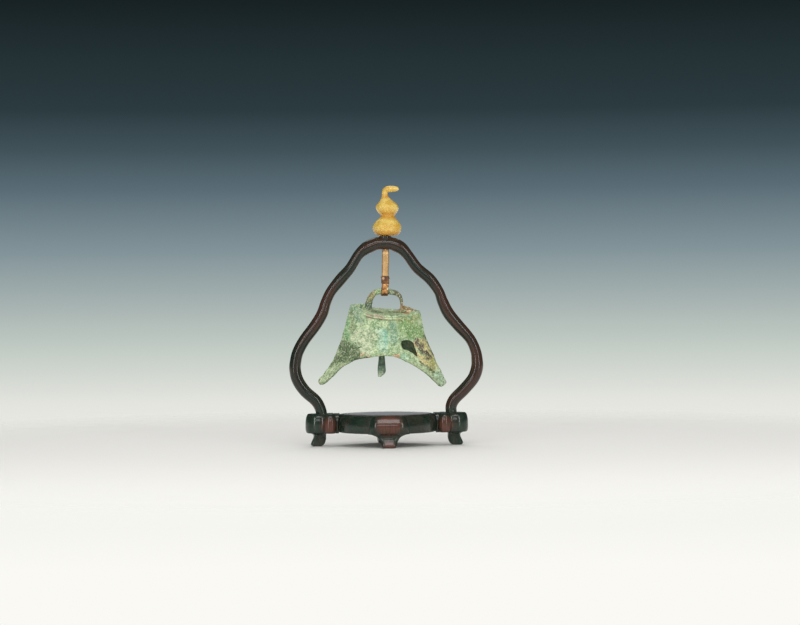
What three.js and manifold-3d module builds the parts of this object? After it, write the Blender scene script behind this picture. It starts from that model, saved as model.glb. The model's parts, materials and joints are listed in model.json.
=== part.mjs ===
// A small bronze bell hung from a carved hardwood frame with a gourd finial.
// Lengths are in millimetres and angles in degrees. +Z is up, +X is to the viewer's right,
// and the front of the bell faces -Y. The origin is on the ground under the middle of the base.
import * as THREE from "three";
import { mergeVertices } from "three/addons/utils/BufferGeometryUtils.js";
import Module from "manifold-3d";

const wasm = await Module();
wasm.setup();

// Clearances shared by every joint between two pieces
const FIT_GAP = 0.3;
const CUT_OVERRUN = 4;

// Round base drum and the thin panel let into its top
const DRUM_RADIUS = 36;
const DRUM_HEIGHT = 13.5;
const DRUM_EDGE = 1.6;
const PANEL_RADIUS = 31;
const PANEL_THICKNESS = 1.4;
const PANEL_SINK = 0.5;

// Lobed block at each end of the drum
const BLOCK_RISE = 0.8;
const BLOCK_DROP = 0.5;
const BLOCK_ROUND_TOP = 4.2;
const BLOCK_ROUND_BOTTOM = 2.6;
const OUTER_LOBE_RADIUS = 9.6;
const OUTER_LOBE_OUTSET = 2.2;
const SIDE_LOBE_RADIUS = 6;
const SIDE_LOBE_OUTSET = 2.9;
const SIDE_LOBE_ACROSS = 8.6;

// Cabriole legs: one at the front, one at the back, one under each block
const LEG_HEIGHT = 9.7;
const LEG_DEPTH = 9;
const FRONT_LEG_WIDTH = 25;
const FRONT_LEG_INSET = 6;
const SHOULDER_PROUD = 2;
const SIDE_LEG_WIDTH = 16;
const SIDE_LEG_OUTSET = 1.9;
const TENON_RADIUS = 2.2;
const TENON_LENGTH = 4;

// Sinuous arch of round section, let into the two blocks
const ARCH_HALF_SPAN = 65.5;
const ARCH_RISE = 121.5;
const ARCH_FOOT_OUTSET = 10.4;
const ARCH_FOOT_DEPTH = 7;
const ROD_RADIUS = 4.3;

// Gourd finial, its collar and the pin that carries the hanger
const COLLAR_RADIUS = 5.6;
const COLLAR_STAND = 1.2;
const COLLAR_DEPTH = 4;
const GOURD_RADIUS = 10.1;
const GOURD_HEIGHT = 27;
const GOURD_SHIFT = 0.9;
const STALK_RADIUS = 2.9;
const STALK_RISE = 9.2;
const STALK_REACH = 8.4;
const PIN_RADIUS = 1.2;
const PIN_HEAD_RADIUS = 1.9;
const PIN_HEAD_THICKNESS = 0.9;
const PIN_REACH = 9;

// Copper strap folded round the bar of the hoop, and the cane that binds its end
const STRAP_WIDTH = 4.7;
const STRAP_THICKNESS = 0.9;
const STRAP_SHIFT = -0.6;
const STRAP_SETBACK = 2.9;
const STRAP_TAB_BACK = 2.6;
const HANGER_DROP = 30.6;
const STRAP_CLOSE_RISE = 5.2;
const BINDING_LENGTH = 6.2;
const BINDING_THICKNESS = 0.6;
const BINDING_GROOVE = 0.25;
const BINDING_TURNS = 5;

// Bell: hung leaning towards the front, because the bar of its hoop stands behind its middle
const BELL_LEAN_DEG = 12;
const BELL_SHIFT = -0.7;
const BELL_DROP = 68;
const BELL_HALF_SPREAD = 46;
const BELL_DEPTH_RATIO = 0.5;
const HOOP_SET_BACK = 7.2;
const SHOULDER_DROP = 10.5;
const SHOULDER_SKEW = 2.2;
const RIM_DIP = 3;
const BACK_LIP_EXTRA = 3;
const BELL_WALL = 1.7;
const BELL_RIDGE_WALL = 2.6;
const TOP_PLATE = 1.8;

// Hoop on the bell's top plate
const HOOP_BAR_RADIUS = 2.1;
const HOOP_HALF_SPAN = 11.9;
const HOOP_HEIGHT = 14.5;

// Leaf-shaped loss in the front wall
const LOSS_LENGTH = 17.5;
const LOSS_HALF_WIDTH = 3.2;
const LOSS_SLOPE_DEG = -48.5;

// Staple under the top plate, the link on it and the flat clapper
const STAPLE_SHIFT = -2.6;
const STAPLE_WIRE_RADIUS = 0.9;
const STAPLE_HALF_WIDTH = 2.6;
const STAPLE_DROP = 4.6;
const LINK_WIRE_RADIUS = 0.8;
const LINK_HALF_WIDTH = 2.2;
const LINK_DROP = 4.5;
const CLAPPER_THICKNESS = 2.2;
const CLAPPER_LENGTH = 35.8;
const CLAPPER_EYE_RADIUS = 1.35;
const CLAPPER_HEAD_RADIUS = 2.5;
const CLAPPER_HALF_WIDTH = 2.9;
const CLAPPER_NECK_DEG = 40;

// The strap's loop, from where it leaves the binding to where it comes back
const LOOP_START_DEG = 168;
const LOOP_END_DEG = 372;

// Turns about the base's axis that carry a piece made on the +X side to its place
const TO_LEFT_DEG = 180;
const TO_BACK_DEG = 90;
const TO_FRONT_DEG = -90;

// Faces round the large turned pieces, and round the cuts that fit over them
const ROUND_SIDES = 60;
const ROUND_CUT_SIDES = 72;

// Places that follow from the sizes above
const DRUM_BOTTOM = LEG_HEIGHT + FIT_GAP;
const DRUM_TOP = DRUM_BOTTOM + DRUM_HEIGHT;
const BLOCK_BOTTOM = DRUM_BOTTOM - BLOCK_DROP;
const BLOCK_TOP = DRUM_TOP + BLOCK_RISE;
const ARCH_FOOT_X = DRUM_RADIUS + ARCH_FOOT_OUTSET;
const ARCH_FOOT_Z = BLOCK_TOP - ARCH_FOOT_DEPTH;
const CROWN_Z = BLOCK_TOP + ARCH_RISE;
const CROWN_TOP = CROWN_Z + ROD_RADIUS;
const CROWN_UNDER = CROWN_Z - ROD_RADIUS;
const COLLAR_TOP = CROWN_TOP + COLLAR_STAND;
const GOURD_BOTTOM = COLLAR_TOP + FIT_GAP;
const BAR_Z = CROWN_UNDER - HANGER_DROP;
const PIN_BORE_RADIUS = PIN_RADIUS + FIT_GAP;
const BELL_LEAN = THREE.MathUtils.degToRad(BELL_LEAN_DEG);

// Arch centreline from the block up to its widest point: share of the rise, share of the swell
// from the foot to the widest point (left, right), share of the rod's radius
const ARCH_BELLY_SHARES = [
  [0.0, 0.0, 0.0, 0.88],
  [0.03, 0.06, 0.05, 0.86],
  [0.072, 0.27, 0.2, 0.86],
  [0.132, 0.62, 0.51, 0.9],
  [0.191, 0.88, 0.81, 0.96],
  [0.25, 1.0, 0.97, 0.98],
];
// Arch centreline above that point: share of the rise, share of the half span (left, right),
// share of the rod's radius
const ARCH_SHOULDER_SHARES = [
  [0.298, 0.997, 1.0, 0.98],
  [0.357, 0.97, 0.989, 0.94],
  [0.428, 0.898, 0.929, 0.86],
  [0.511, 0.786, 0.797, 0.84],
  [0.582, 0.711, 0.696, 0.87],
  [0.653, 0.665, 0.626, 0.88],
  [0.713, 0.607, 0.585, 0.86],
  [0.784, 0.502, 0.486, 0.84],
  [0.855, 0.402, 0.357, 0.84],
  [0.926, 0.304, 0.245, 0.87],
  [0.967, 0.231, 0.187, 0.94],
  [0.991, 0.159, 0.12, 0.98],
  [1.0, 0.085, 0.05, 1.0],
];
const ARCH_SIDES = 12;
const ARCH_STEPS = 64;

// Leg: share of its height, outer and inner reach as shares of its depth from its middle line,
// half width as a share of its half width at the top
const LEG_SHARES = [
  [0.0, 0.54, -0.14, 0.4],
  [0.09, 0.64, -0.24, 0.46],
  [0.2, 0.69, -0.32, 0.49],
  [0.42, 0.59, -0.42, 0.52],
  [0.67, 0.5, -0.46, 0.56],
  [0.84, 0.49, -0.48, 0.68],
  [1.0, 0.52, -0.49, 0.86],
];
// Shoulder of the front and back legs, on the drum's rim: share of the drum's height,
// share of the proud thickness, half width as a share of the leg's half width
const SHOULDER_SHARES = [
  [-0.055, 0.5, 0.9],
  [0.1, 0.75, 1.0],
  [0.25, 1.0, 0.95],
  [0.6, 1.0, 0.93],
  [0.8, 0.85, 0.92],
  [0.9, 0.45, 0.88],
];
const LEG_SECTION_POWER = 4;

// Gourd: share of its height, share of its greatest radius
const GOURD_SHARES = [
  [0.0, 0.6],
  [0.025, 0.78],
  [0.07, 0.9],
  [0.125, 0.965],
  [0.2, 1.0],
  [0.275, 0.965],
  [0.335, 0.86],
  [0.385, 0.77],
  [0.435, 0.65],
  [0.49, 0.54],
  [0.545, 0.5],
  [0.6, 0.57],
  [0.65, 0.68],
  [0.75, 0.785],
  [0.86, 0.715],
  [0.915, 0.6],
  [0.965, 0.46],
];
// Stalk: share of its reach to the side, share of its rise, share of its radius
const STALK_SHARES = [
  [-0.2, -0.35, 1.35],
  [-0.26, 0.0, 1.12],
  [-0.22, 0.3, 1.0],
  [-0.08, 0.6, 0.98],
  [0.24, 0.81, 0.88],
  [0.68, 0.86, 0.74],
  [1.0, 0.84, 0.56],
];

// Bell: share of its drop, half width to the left and to the right as shares of the half spread
const BELL_WIDTH_SHARES = [
  [0.1, 0.535, 0.485],
  [0.197, 0.574, 0.542],
  [0.306, 0.615, 0.58],
  [0.414, 0.654, 0.606],
  [0.523, 0.701, 0.664],
  [0.631, 0.762, 0.733],
  [0.74, 0.837, 0.798],
  [0.848, 0.944, 0.886],
  [0.957, 1.049, 0.95],
  [1.1, 1.15, 1.0],
];
// Arched lip: place across the bell from -1 at the left ridge to 1 at the right one, share of the drop
const LIP_SHARES = [
  [-1.0, 0.942],
  [-0.94, 0.974],
  [-0.84, 0.937],
  [-0.8, 0.854],
  [-0.75, 0.753],
  [-0.59, 0.672],
  [-0.22, 0.629],
  [0.0, 0.621],
  [0.21, 0.636],
  [0.42, 0.688],
  [0.6, 0.756],
  [0.74, 0.834],
  [0.89, 0.975],
  [0.93, 1.007],
  [1.0, 0.985],
];
const BELL_COLUMNS = 28;
const BELL_ROWS = 8;

// Hoop: share of its half span, share of its height down from the bar, share of the bar's radius
const HOOP_SHARES = [
  [-1.07, 1.15, 1.5],
  [-1.02, 0.82, 1.2],
  [-0.98, 0.55, 1.14],
  [-0.87, 0.3, 1.05],
  [-0.68, 0.1, 0.93],
  [-0.4, 0.01, 0.96],
  [-0.2, 0.0, 1.0],
  [0.2, 0.0, 1.0],
  [0.38, 0.03, 0.93],
  [0.68, 0.09, 0.81],
  [0.91, 0.24, 0.64],
  [1.0, 0.46, 0.46],
  [1.01, 0.74, 0.48],
  [1.06, 1.2, 1.2],
];
const HOOP_SIDES = 10;
const HOOP_STEPS = 30;

// Start of the loss: share of the bell's half spread, share of the bell's drop
const LOSS_START_SHARES = [0.254, 0.4735];
// Edge of the loss: share of its length, share of its half width above and below its middle line
const LOSS_SHARES = [
  [0.08, 0.45, -0.3],
  [0.22, 0.85, -0.62],
  [0.42, 1.0, -0.75],
  [0.6, 0.72, -0.6],
  [0.8, 0.4, -0.3],
];

// Clapper outline below its eye: share of its length, left and right edges as shares of the half width
const CLAPPER_SHARES = [
  [0.17, -0.58, 0.55],
  [0.35, -0.62, 0.58],
  [0.6, -0.76, 0.7],
  [0.86, -0.97, 1.0],
  [0.91, -0.96, 0.9],
  [1.0, -0.86, 0.5],
];

// Linear reading of one column of a table whose first column rises
function readTable(table, column, at) {
  let row = 1;
  while (row < table.length - 1 && table[row][0] < at) row += 1;
  const low = table[row - 1];
  const high = table[row];
  const part = (at - low[0]) / (high[0] - low[0]);
  return low[column] + part * (high[column] - low[column]);
}

// Smooth reading of one column of a table, from 0 at its first row to 1 at its last
function smoothColumn(table, column, at) {
  const values = table.map((row) => new THREE.Vector3(row[column], 0, 0));
  return new THREE.CatmullRomCurve3(values, false, "catmullrom").getPoint(at).x;
}

// Closed solid from a three.js geometry
function solidOf(geometry) {
  const bare = geometry.clone();
  bare.deleteAttribute("normal");
  bare.deleteAttribute("uv");
  const merged = mergeVertices(bare, 1e-4);
  const options = {
    numProp: 3,
    vertProperties: new Float32Array(merged.attributes.position.array),
    triVerts: new Uint32Array(merged.index.array),
  };
  return new wasm.Manifold(new wasm.Mesh(options));
}

// Solid through a row of rings with the same even number of points, closed at both ends by
// rungs between the points that mirror each other across the ring
function loft(rings) {
  const count = rings[0].length;
  const half = count / 2;
  const positions = rings.flat().flatMap((point) => [point.x, point.y, point.z]);
  const faces = [];
  const quad = (a, b, c, d) => faces.push(a, b, c, a, c, d);
  for (let ring = 0; ring < rings.length - 1; ring += 1) {
    for (let k = 0; k < count; k += 1) {
      const next = (k + 1) % count;
      const low = ring * count;
      const high = low + count;
      quad(low + k, low + next, high + next, high + k);
    }
  }
  const last = (rings.length - 1) * count;
  for (let k = 0; k < half; k += 1) {
    const mirrored = (count - k) % count;
    quad(k, mirrored, count - k - 1, k + 1);
    quad(last + k, last + k + 1, last + count - k - 1, last + mirrored);
  }
  const geometry = new THREE.BufferGeometry();
  geometry.setAttribute("position", new THREE.Float32BufferAttribute(positions, 3));
  geometry.setIndex(signedVolume(positions, faces) < 0 ? faces.reverse() : faces);
  return solidOf(geometry.toNonIndexed());
}

// Volume inside a triangle list, negative when the faces point inwards
function signedVolume(positions, faces) {
  const corner = (k) => new THREE.Vector3().fromArray(positions, 3 * faces[k]);
  let volume = 0;
  for (let k = 0; k < faces.length; k += 3) {
    volume += corner(k).dot(corner(k + 1).cross(corner(k + 2))) / 6;
  }
  return volume;
}

// Round bar along a smooth curve, with a radius for each of its points
function bar(points, radii, sides, steps) {
  const curve = new THREE.CatmullRomCurve3(points, false, "centripetal");
  const sizes = radii.map((radius, k) => [k, radius]);
  const frames = curve.computeFrenetFrames(steps, false);
  const rings = [];
  for (let k = 0; k <= steps; k += 1) {
    const along = curve.getUtoTmapping(k / steps);
    const centre = curve.getPoint(along);
    const radius = smoothColumn(sizes, 1, along);
    rings.push(circle(centre, frames.normals[k], frames.binormals[k], radius, sides));
  }
  return loft(rings);
}

function circle(centre, across, up, radius, sides) {
  const ring = [];
  for (let k = 0; k < sides; k += 1) {
    const angle = (2 * Math.PI * k) / sides;
    const point = centre.clone();
    point.addScaledVector(across, radius * Math.cos(angle));
    point.addScaledVector(up, radius * Math.sin(angle));
    ring.push(point);
  }
  return ring;
}

// Upright turned solid from a profile of [radius, height] pairs that starts and ends on the axis
function turned(profile, segments) {
  const points = profile.map(([radius, height]) => new THREE.Vector2(radius, height));
  const geometry = new THREE.LatheGeometry(points, segments);
  return solidOf(geometry.rotateX(Math.PI / 2));
}

// Upright round peg between two heights
function peg(radius, bottom, top, segments = 24) {
  return turned([[0, bottom], [radius, bottom], [radius, top], [0, top]], segments);
}

// Flat solid from an outline in X and Z, from one Y to another
function plate(shape, front, back) {
  const geometry = new THREE.ExtrudeGeometry(shape, {
    depth: back - front,
    bevelEnabled: false,
    curveSegments: 10,
  });
  return solidOf(geometry.rotateX(Math.PI / 2).translate(0, back, 0));
}

// Named mesh from a solid, with its own material
function piece(name, solid, finish) {
  const { vertProperties, triVerts } = solid.getMesh();
  const geometry = new THREE.BufferGeometry();
  geometry.setAttribute("position", new THREE.BufferAttribute(vertProperties, 3));
  geometry.setIndex(new THREE.BufferAttribute(triVerts, 1));
  const faceted = geometry.toNonIndexed();
  faceted.computeVertexNormals();
  const mesh = new THREE.Mesh(faceted, new THREE.MeshStandardMaterial(finish));
  mesh.name = name;
  return mesh;
}

// Finishes
const DARK_WOOD = { color: 0x2f2418, roughness: 0.3, metalness: 0 };
const PANEL_WOOD = { color: 0x3a2c20, roughness: 0.22, metalness: 0 };
const GOURD_STONE = { color: 0xe1bb63, roughness: 0.38, metalness: 0 };
const COPPER = { color: 0xc79a63, roughness: 0.42, metalness: 0.7 };
const CANE = { color: 0x8d6441, roughness: 0.7, metalness: 0 };
const PATINA = { color: 0xa0c09c, roughness: 0.85, metalness: 0.1 };
const OLD_BRONZE = { color: 0x5f6f52, roughness: 0.7, metalness: 0.4 };

// Base drum: turned, with a rounded rim, a sunk seat for the panel and a bore for each leg's tenon
function baseDrum() {
  const seat = DRUM_TOP - PANEL_SINK - PANEL_THICKNESS;
  const panelBore = PANEL_RADIUS + FIT_GAP;
  const profile = [
    [0, DRUM_BOTTOM],
    [DRUM_RADIUS - DRUM_EDGE, DRUM_BOTTOM],
    [DRUM_RADIUS - 0.3 * DRUM_EDGE, DRUM_BOTTOM + 0.4 * DRUM_EDGE],
    [DRUM_RADIUS, DRUM_BOTTOM + 1.3 * DRUM_EDGE],
    [DRUM_RADIUS, DRUM_TOP - 1.3 * DRUM_EDGE],
    [DRUM_RADIUS - 0.3 * DRUM_EDGE, DRUM_TOP - 0.4 * DRUM_EDGE],
    [DRUM_RADIUS - DRUM_EDGE, DRUM_TOP],
    [panelBore, DRUM_TOP],
    [panelBore, seat],
    [0, seat],
  ];
  const bore = peg(TENON_RADIUS + FIT_GAP, DRUM_BOTTOM - CUT_OVERRUN, tenonTop(DRUM_BOTTOM) + FIT_GAP);
  const reach = DRUM_RADIUS - FRONT_LEG_INSET;
  return turned(profile, ROUND_SIDES)
    .subtract(bore.translate([0, -reach, 0]))
    .subtract(bore.translate([0, reach, 0]));
}

function tenonTop(seat) {
  return seat + TENON_LENGTH;
}

function basePanel() {
  const bottom = DRUM_TOP - PANEL_SINK - PANEL_THICKNESS;
  return peg(PANEL_RADIUS, bottom, bottom + PANEL_THICKNESS, ROUND_SIDES);
}

// Outline of the block on the +X side: the farthest of its round lobes in each direction from a
// point inside it, with every lobe shrunk by the inset
function blockRing(height, inset) {
  const heart = new THREE.Vector2(0.5 * (ARCH_FOOT_X + DRUM_RADIUS + SIDE_LOBE_OUTSET), 0);
  const lobes = [
    [ARCH_FOOT_X + OUTER_LOBE_OUTSET, 0, OUTER_LOBE_RADIUS],
    [DRUM_RADIUS + SIDE_LOBE_OUTSET, -SIDE_LOBE_ACROSS, SIDE_LOBE_RADIUS],
    [DRUM_RADIUS + SIDE_LOBE_OUTSET, SIDE_LOBE_ACROSS, SIDE_LOBE_RADIUS],
    [DRUM_RADIUS, 0, SIDE_LOBE_ACROSS],
  ];
  const sides = 44;
  const ring = [];
  for (let k = 0; k < sides; k += 1) {
    const angle = (2 * Math.PI * k) / sides;
    const ray = new THREE.Vector2(Math.cos(angle), Math.sin(angle));
    const reach = Math.max(...lobes.map((lobe) => rayReach(heart, ray, lobe, inset)));
    ring.push(new THREE.Vector3(heart.x + reach * ray.x, heart.y + reach * ray.y, height));
  }
  return ring;
}

// Distance along a ray to the far side of a round lobe, or zero where the ray misses it
function rayReach(start, ray, [x, y, radius], inset) {
  const toCentre = new THREE.Vector2(x, y).sub(start);
  const along = toCentre.dot(ray);
  const missSquared = toCentre.lengthSq() - along * along;
  const halfChordSquared = (radius - inset) ** 2 - missSquared;
  return halfChordSquared > 0 ? along + Math.sqrt(halfChordSquared) : 0;
}

// End block: pillowed over the top and tucked in below, cut round for the drum, with a mortise
// for the arch's foot from above and one for the leg's tenon from below
function endBlock() {
  const height = BLOCK_TOP - BLOCK_BOTTOM;
  const levelShares = [0, 0.05, 0.12, 0.24, 0.7, 0.83, 0.93, 1];
  const rings = levelShares.map((share) => {
    const fromTop = (1 - share) * height;
    const fromBottom = share * height;
    const inset = Math.max(
      roundInset(fromTop, BLOCK_ROUND_TOP),
      roundInset(fromBottom, BLOCK_ROUND_BOTTOM),
    );
    return blockRing(BLOCK_BOTTOM + fromBottom, inset);
  });
  const cutBottom = BLOCK_BOTTOM - CUT_OVERRUN;
  const drum = peg(DRUM_RADIUS + FIT_GAP, cutBottom, BLOCK_TOP + CUT_OVERRUN, ROUND_CUT_SIDES);
  const footRadius = ROD_RADIUS * ARCH_BELLY_SHARES[0][3] + FIT_GAP;
  const footBore = peg(footRadius, ARCH_FOOT_Z - FIT_GAP, BLOCK_TOP + CUT_OVERRUN);
  const tenonBore = peg(TENON_RADIUS + FIT_GAP, cutBottom, tenonTop(BLOCK_BOTTOM) + FIT_GAP);
  return loft(rings)
    .subtract(drum)
    .subtract(footBore.translate([ARCH_FOOT_X, 0, 0]))
    .subtract(tenonBore.translate([ARCH_FOOT_X + SIDE_LEG_OUTSET, 0, 0]));
}

// Inset of a quarter-round edge at a distance from the face that it rounds
function roundInset(distance, radius) {
  if (distance >= radius) return 0;
  const run = 1 - distance / radius;
  return 0.6 * radius * (1 - Math.sqrt(1 - run * run));
}

// One level of a leg: a squarish ring bent round the base's axis, between two distances from it
function legRing(outer, inner, halfWidth, height, bend) {
  const sides = 20;
  const middle = 0.5 * (outer + inner);
  const halfDepth = 0.5 * (outer - inner);
  const power = 2 / LEG_SECTION_POWER;
  const ring = [];
  for (let k = 0; k < sides; k += 1) {
    const angle = (2 * Math.PI * k) / sides;
    const radial = middle + halfDepth * Math.sign(Math.cos(angle)) * Math.abs(Math.cos(angle)) ** power;
    const across = halfWidth * Math.sign(Math.sin(angle)) * Math.abs(Math.sin(angle)) ** power;
    const turn = across / bend;
    ring.push(new THREE.Vector3(radial * Math.cos(turn), radial * Math.sin(turn), height));
  }
  return ring;
}

function legRings(middle, width, height) {
  return LEG_SHARES.map(([rise, out, inward, spread]) => {
    const outer = middle + out * LEG_DEPTH;
    const inner = middle + inward * LEG_DEPTH;
    return legRing(outer, inner, 0.5 * width * spread, rise * height, middle);
  });
}

// Leg under an end block, on the +X side
function sideLeg() {
  const middle = ARCH_FOOT_X + SIDE_LEG_OUTSET;
  const height = BLOCK_BOTTOM - FIT_GAP;
  const tenon = peg(TENON_RADIUS, 0.5 * height, tenonTop(BLOCK_BOTTOM));
  return loft(legRings(middle, SIDE_LEG_WIDTH, height)).add(tenon.translate([middle, 0, 0]));
}

// Leg under the drum, on the +X side, with its proud shoulder on the rim
function drumLeg() {
  const middle = DRUM_RADIUS - FRONT_LEG_INSET;
  const rings = legRings(middle, FRONT_LEG_WIDTH, LEG_HEIGHT).slice(0, -1);
  const inner = middle - 0.49 * LEG_DEPTH;
  for (const [rise, proud, spread] of SHOULDER_SHARES) {
    const outer = DRUM_RADIUS + FIT_GAP + proud * (SHOULDER_PROUD - FIT_GAP);
    const halfWidth = 0.5 * FRONT_LEG_WIDTH * spread;
    rings.push(legRing(outer, inner, halfWidth, DRUM_BOTTOM + rise * DRUM_HEIGHT, middle));
  }
  const drum = peg(DRUM_RADIUS + FIT_GAP, LEG_HEIGHT, DRUM_TOP + CUT_OVERRUN, ROUND_CUT_SIDES);
  const tenon = peg(TENON_RADIUS, 0.5 * LEG_HEIGHT, tenonTop(DRUM_BOTTOM));
  return loft(rings)
    .subtract(drum)
    .add(tenon.translate([middle, 0, 0]));
}

// Arch: both sides from their tables, joined over the crown
function archSide(column, sign) {
  const foot = [[sign * ARCH_FOOT_X, ARCH_FOOT_Z, ARCH_BELLY_SHARES[0][3]]];
  const swell = ARCH_HALF_SPAN - ARCH_FOOT_X;
  const belly = ARCH_BELLY_SHARES.map((row) => [
    sign * (ARCH_FOOT_X + row[column] * swell),
    BLOCK_TOP + row[0] * ARCH_RISE,
    row[3],
  ]);
  const shoulder = ARCH_SHOULDER_SHARES.map((row) => [
    sign * row[column] * ARCH_HALF_SPAN,
    BLOCK_TOP + row[0] * ARCH_RISE,
    row[3],
  ]);
  return [...foot, ...belly, ...shoulder];
}

function archBar(extra) {
  const rows = [...archSide(1, -1), ...archSide(2, 1).reverse()];
  const points = rows.map(([x, z]) => new THREE.Vector3(x, 0, z));
  const radii = rows.map((row) => row[2] * ROD_RADIUS + extra);
  return bar(points, radii, ARCH_SIDES, ARCH_STEPS);
}

function arch() {
  return archBar(0).subtract(peg(PIN_BORE_RADIUS, CROWN_UNDER - CUT_OVERRUN, CROWN_TOP + CUT_OVERRUN));
}

// Collar between crown and gourd, hollowed below to sit astride the crown
function collar() {
  const bottom = COLLAR_TOP - COLLAR_DEPTH;
  const profile = [
    [0, bottom],
    [0.78 * COLLAR_RADIUS, bottom],
    [COLLAR_RADIUS, COLLAR_TOP - 0.45 * COLLAR_DEPTH],
    [COLLAR_RADIUS, COLLAR_TOP - 0.12 * COLLAR_DEPTH],
    [0.94 * COLLAR_RADIUS, COLLAR_TOP],
    [0, COLLAR_TOP],
  ];
  return turned(profile, 32)
    .subtract(archBar(FIT_GAP))
    .subtract(peg(PIN_BORE_RADIUS, bottom - CUT_OVERRUN, COLLAR_TOP + CUT_OVERRUN));
}

// Gourd with its bent stalk, bored from below for the pin
function gourd() {
  const profile = GOURD_SHARES.map(([rise, size]) => [
    size * GOURD_RADIUS,
    GOURD_BOTTOM + rise * GOURD_HEIGHT,
  ]);
  const first = profile[0];
  const last = profile[profile.length - 1];
  const body = turned([[0, first[1]], ...profile, [0, last[1] + 0.03 * GOURD_HEIGHT]], 28);
  const stalkPoints = STALK_SHARES.map(([side, rise]) => {
    const x = side * STALK_REACH;
    return new THREE.Vector3(x, 0, last[1] + rise * STALK_RISE);
  });
  const stalk = bar(stalkPoints, STALK_SHARES.map((row) => row[2] * STALK_RADIUS), 12, 14);
  const bore = peg(PIN_BORE_RADIUS, GOURD_BOTTOM - CUT_OVERRUN, GOURD_BOTTOM + PIN_REACH + FIT_GAP);
  return body
    .add(stalk)
    .translate([GOURD_SHIFT, 0, 0])
    .subtract(bore);
}

// Pin through crown, collar and strap, riveted under the strap's tab
function hangerPin() {
  const tabBottom = CROWN_UNDER - FIT_GAP - STRAP_THICKNESS;
  const headTop = tabBottom - FIT_GAP;
  const tip = GOURD_BOTTOM + PIN_REACH;
  const profile = [
    [0, headTop - PIN_HEAD_THICKNESS],
    [0.6 * PIN_HEAD_RADIUS, headTop - PIN_HEAD_THICKNESS],
    [PIN_HEAD_RADIUS, headTop - 0.5 * PIN_HEAD_THICKNESS],
    [PIN_HEAD_RADIUS, headTop],
    [PIN_RADIUS, headTop],
    [PIN_RADIUS, tip - 0.5 * PIN_RADIUS],
    [0.5 * PIN_RADIUS, tip],
    [0, tip],
  ];
  return turned(profile, 24);
}

// Ribbon outline: a path in Y and Z with the strap's thickness, as a closed shape
function ribbon(path, thickness, steps) {
  const curve = new THREE.SplineCurve(path.map(([y, z]) => new THREE.Vector2(y, z)));
  const sides = [[], []];
  for (let k = 0; k <= steps; k += 1) {
    const at = curve.getPointAt(k / steps);
    const along = curve.getTangentAt(k / steps);
    const across = new THREE.Vector2(-along.y, along.x).multiplyScalar(0.5 * thickness);
    sides[0].push(at.clone().add(across));
    sides[1].push(at.clone().sub(across));
  }
  return new THREE.Shape([...sides[0], ...sides[1].reverse()]);
}

// Strap: a tab on the pin, a flat drop to the binding, a loop under the hoop's bar and its end
// brought back up inside the binding
function hangerStrap() {
  const half = 0.5 * STRAP_THICKNESS;
  const loopRadius = HOOP_BAR_RADIUS + FIT_GAP + half;
  const legOffset = half + 0.5 * FIT_GAP;
  const tabZ = CROWN_UNDER - FIT_GAP - half;
  const closeZ = BAR_Z + STRAP_CLOSE_RISE;
  const endZ = closeZ + BINDING_LENGTH;
  const path = [
    [STRAP_TAB_BACK, tabZ],
    [0, tabZ],
    [-0.75 * STRAP_SETBACK, tabZ],
    [-0.96 * STRAP_SETBACK, tabZ - 0.3 * STRAP_SETBACK],
    [-STRAP_SETBACK, tabZ - 0.9 * STRAP_SETBACK],
    [-0.6 * STRAP_SETBACK, 0.5 * (tabZ + endZ)],
    [-1.25 * legOffset, endZ + STRAP_SETBACK],
    [-legOffset, endZ - 0.5 * STRAP_SETBACK],
    [-legOffset, closeZ],
  ];
  const firstAngle = THREE.MathUtils.degToRad(LOOP_START_DEG);
  const lastAngle = THREE.MathUtils.degToRad(LOOP_END_DEG);
  const arcSteps = 8;
  for (let k = 0; k <= arcSteps; k += 1) {
    const angle = firstAngle + (k / arcSteps) * (lastAngle - firstAngle);
    path.push([loopRadius * Math.cos(angle), BAR_Z + loopRadius * Math.sin(angle)]);
  }
  path.push([legOffset, closeZ], [legOffset, 0.5 * (closeZ + endZ)], [legOffset, endZ]);
  const geometry = new THREE.ExtrudeGeometry(ribbon(path, STRAP_THICKNESS, 64), {
    depth: STRAP_WIDTH,
    bevelEnabled: false,
  });
  // The outline's two axes become Y and Z, and the depth becomes X
  geometry.rotateX(Math.PI / 2).rotateZ(Math.PI / 2);
  geometry.translate(STRAP_SHIFT - 0.5 * STRAP_WIDTH, 0, 0);
  const bore = peg(PIN_BORE_RADIUS, tabZ - STRAP_THICKNESS, tabZ + STRAP_THICKNESS);
  return solidOf(geometry).subtract(bore);
}

// Cane binding: turns of a thin strip round both legs of the strap
function strapBinding() {
  const bottom = BAR_Z + STRAP_CLOSE_RISE;
  const holeX = 0.5 * STRAP_WIDTH + FIT_GAP;
  const holeY = STRAP_THICKNESS + 0.5 * FIT_GAP + FIT_GAP;
  const sides = 16;
  const levelsPerTurn = 2;
  const levels = BINDING_TURNS * levelsPerTurn;
  const rings = [];
  for (let level = 0; level <= levels; level += 1) {
    const share = level / levels;
    const groove = BINDING_GROOVE * Math.cos(Math.PI * share * BINDING_TURNS) ** 2;
    const ring = [];
    for (let k = 0; k < sides; k += 1) {
      const angle = (2 * Math.PI * k) / sides;
      const x = Math.sign(Math.cos(angle)) * Math.abs(Math.cos(angle)) ** 0.45;
      const y = Math.sign(Math.sin(angle)) * Math.abs(Math.sin(angle)) ** 0.45;
      const reach = BINDING_THICKNESS - groove;
      const z = bottom + share * BINDING_LENGTH;
      ring.push(new THREE.Vector3(STRAP_SHIFT + x * (holeX + reach), y * (holeY + reach), z));
    }
    rings.push(ring);
  }
  const hole = new THREE.BoxGeometry(2 * holeX, 2 * holeY, BINDING_LENGTH + CUT_OVERRUN);
  hole.translate(STRAP_SHIFT, 0, bottom + 0.5 * BINDING_LENGTH);
  return loft(rings).subtract(solidOf(hole));
}

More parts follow.
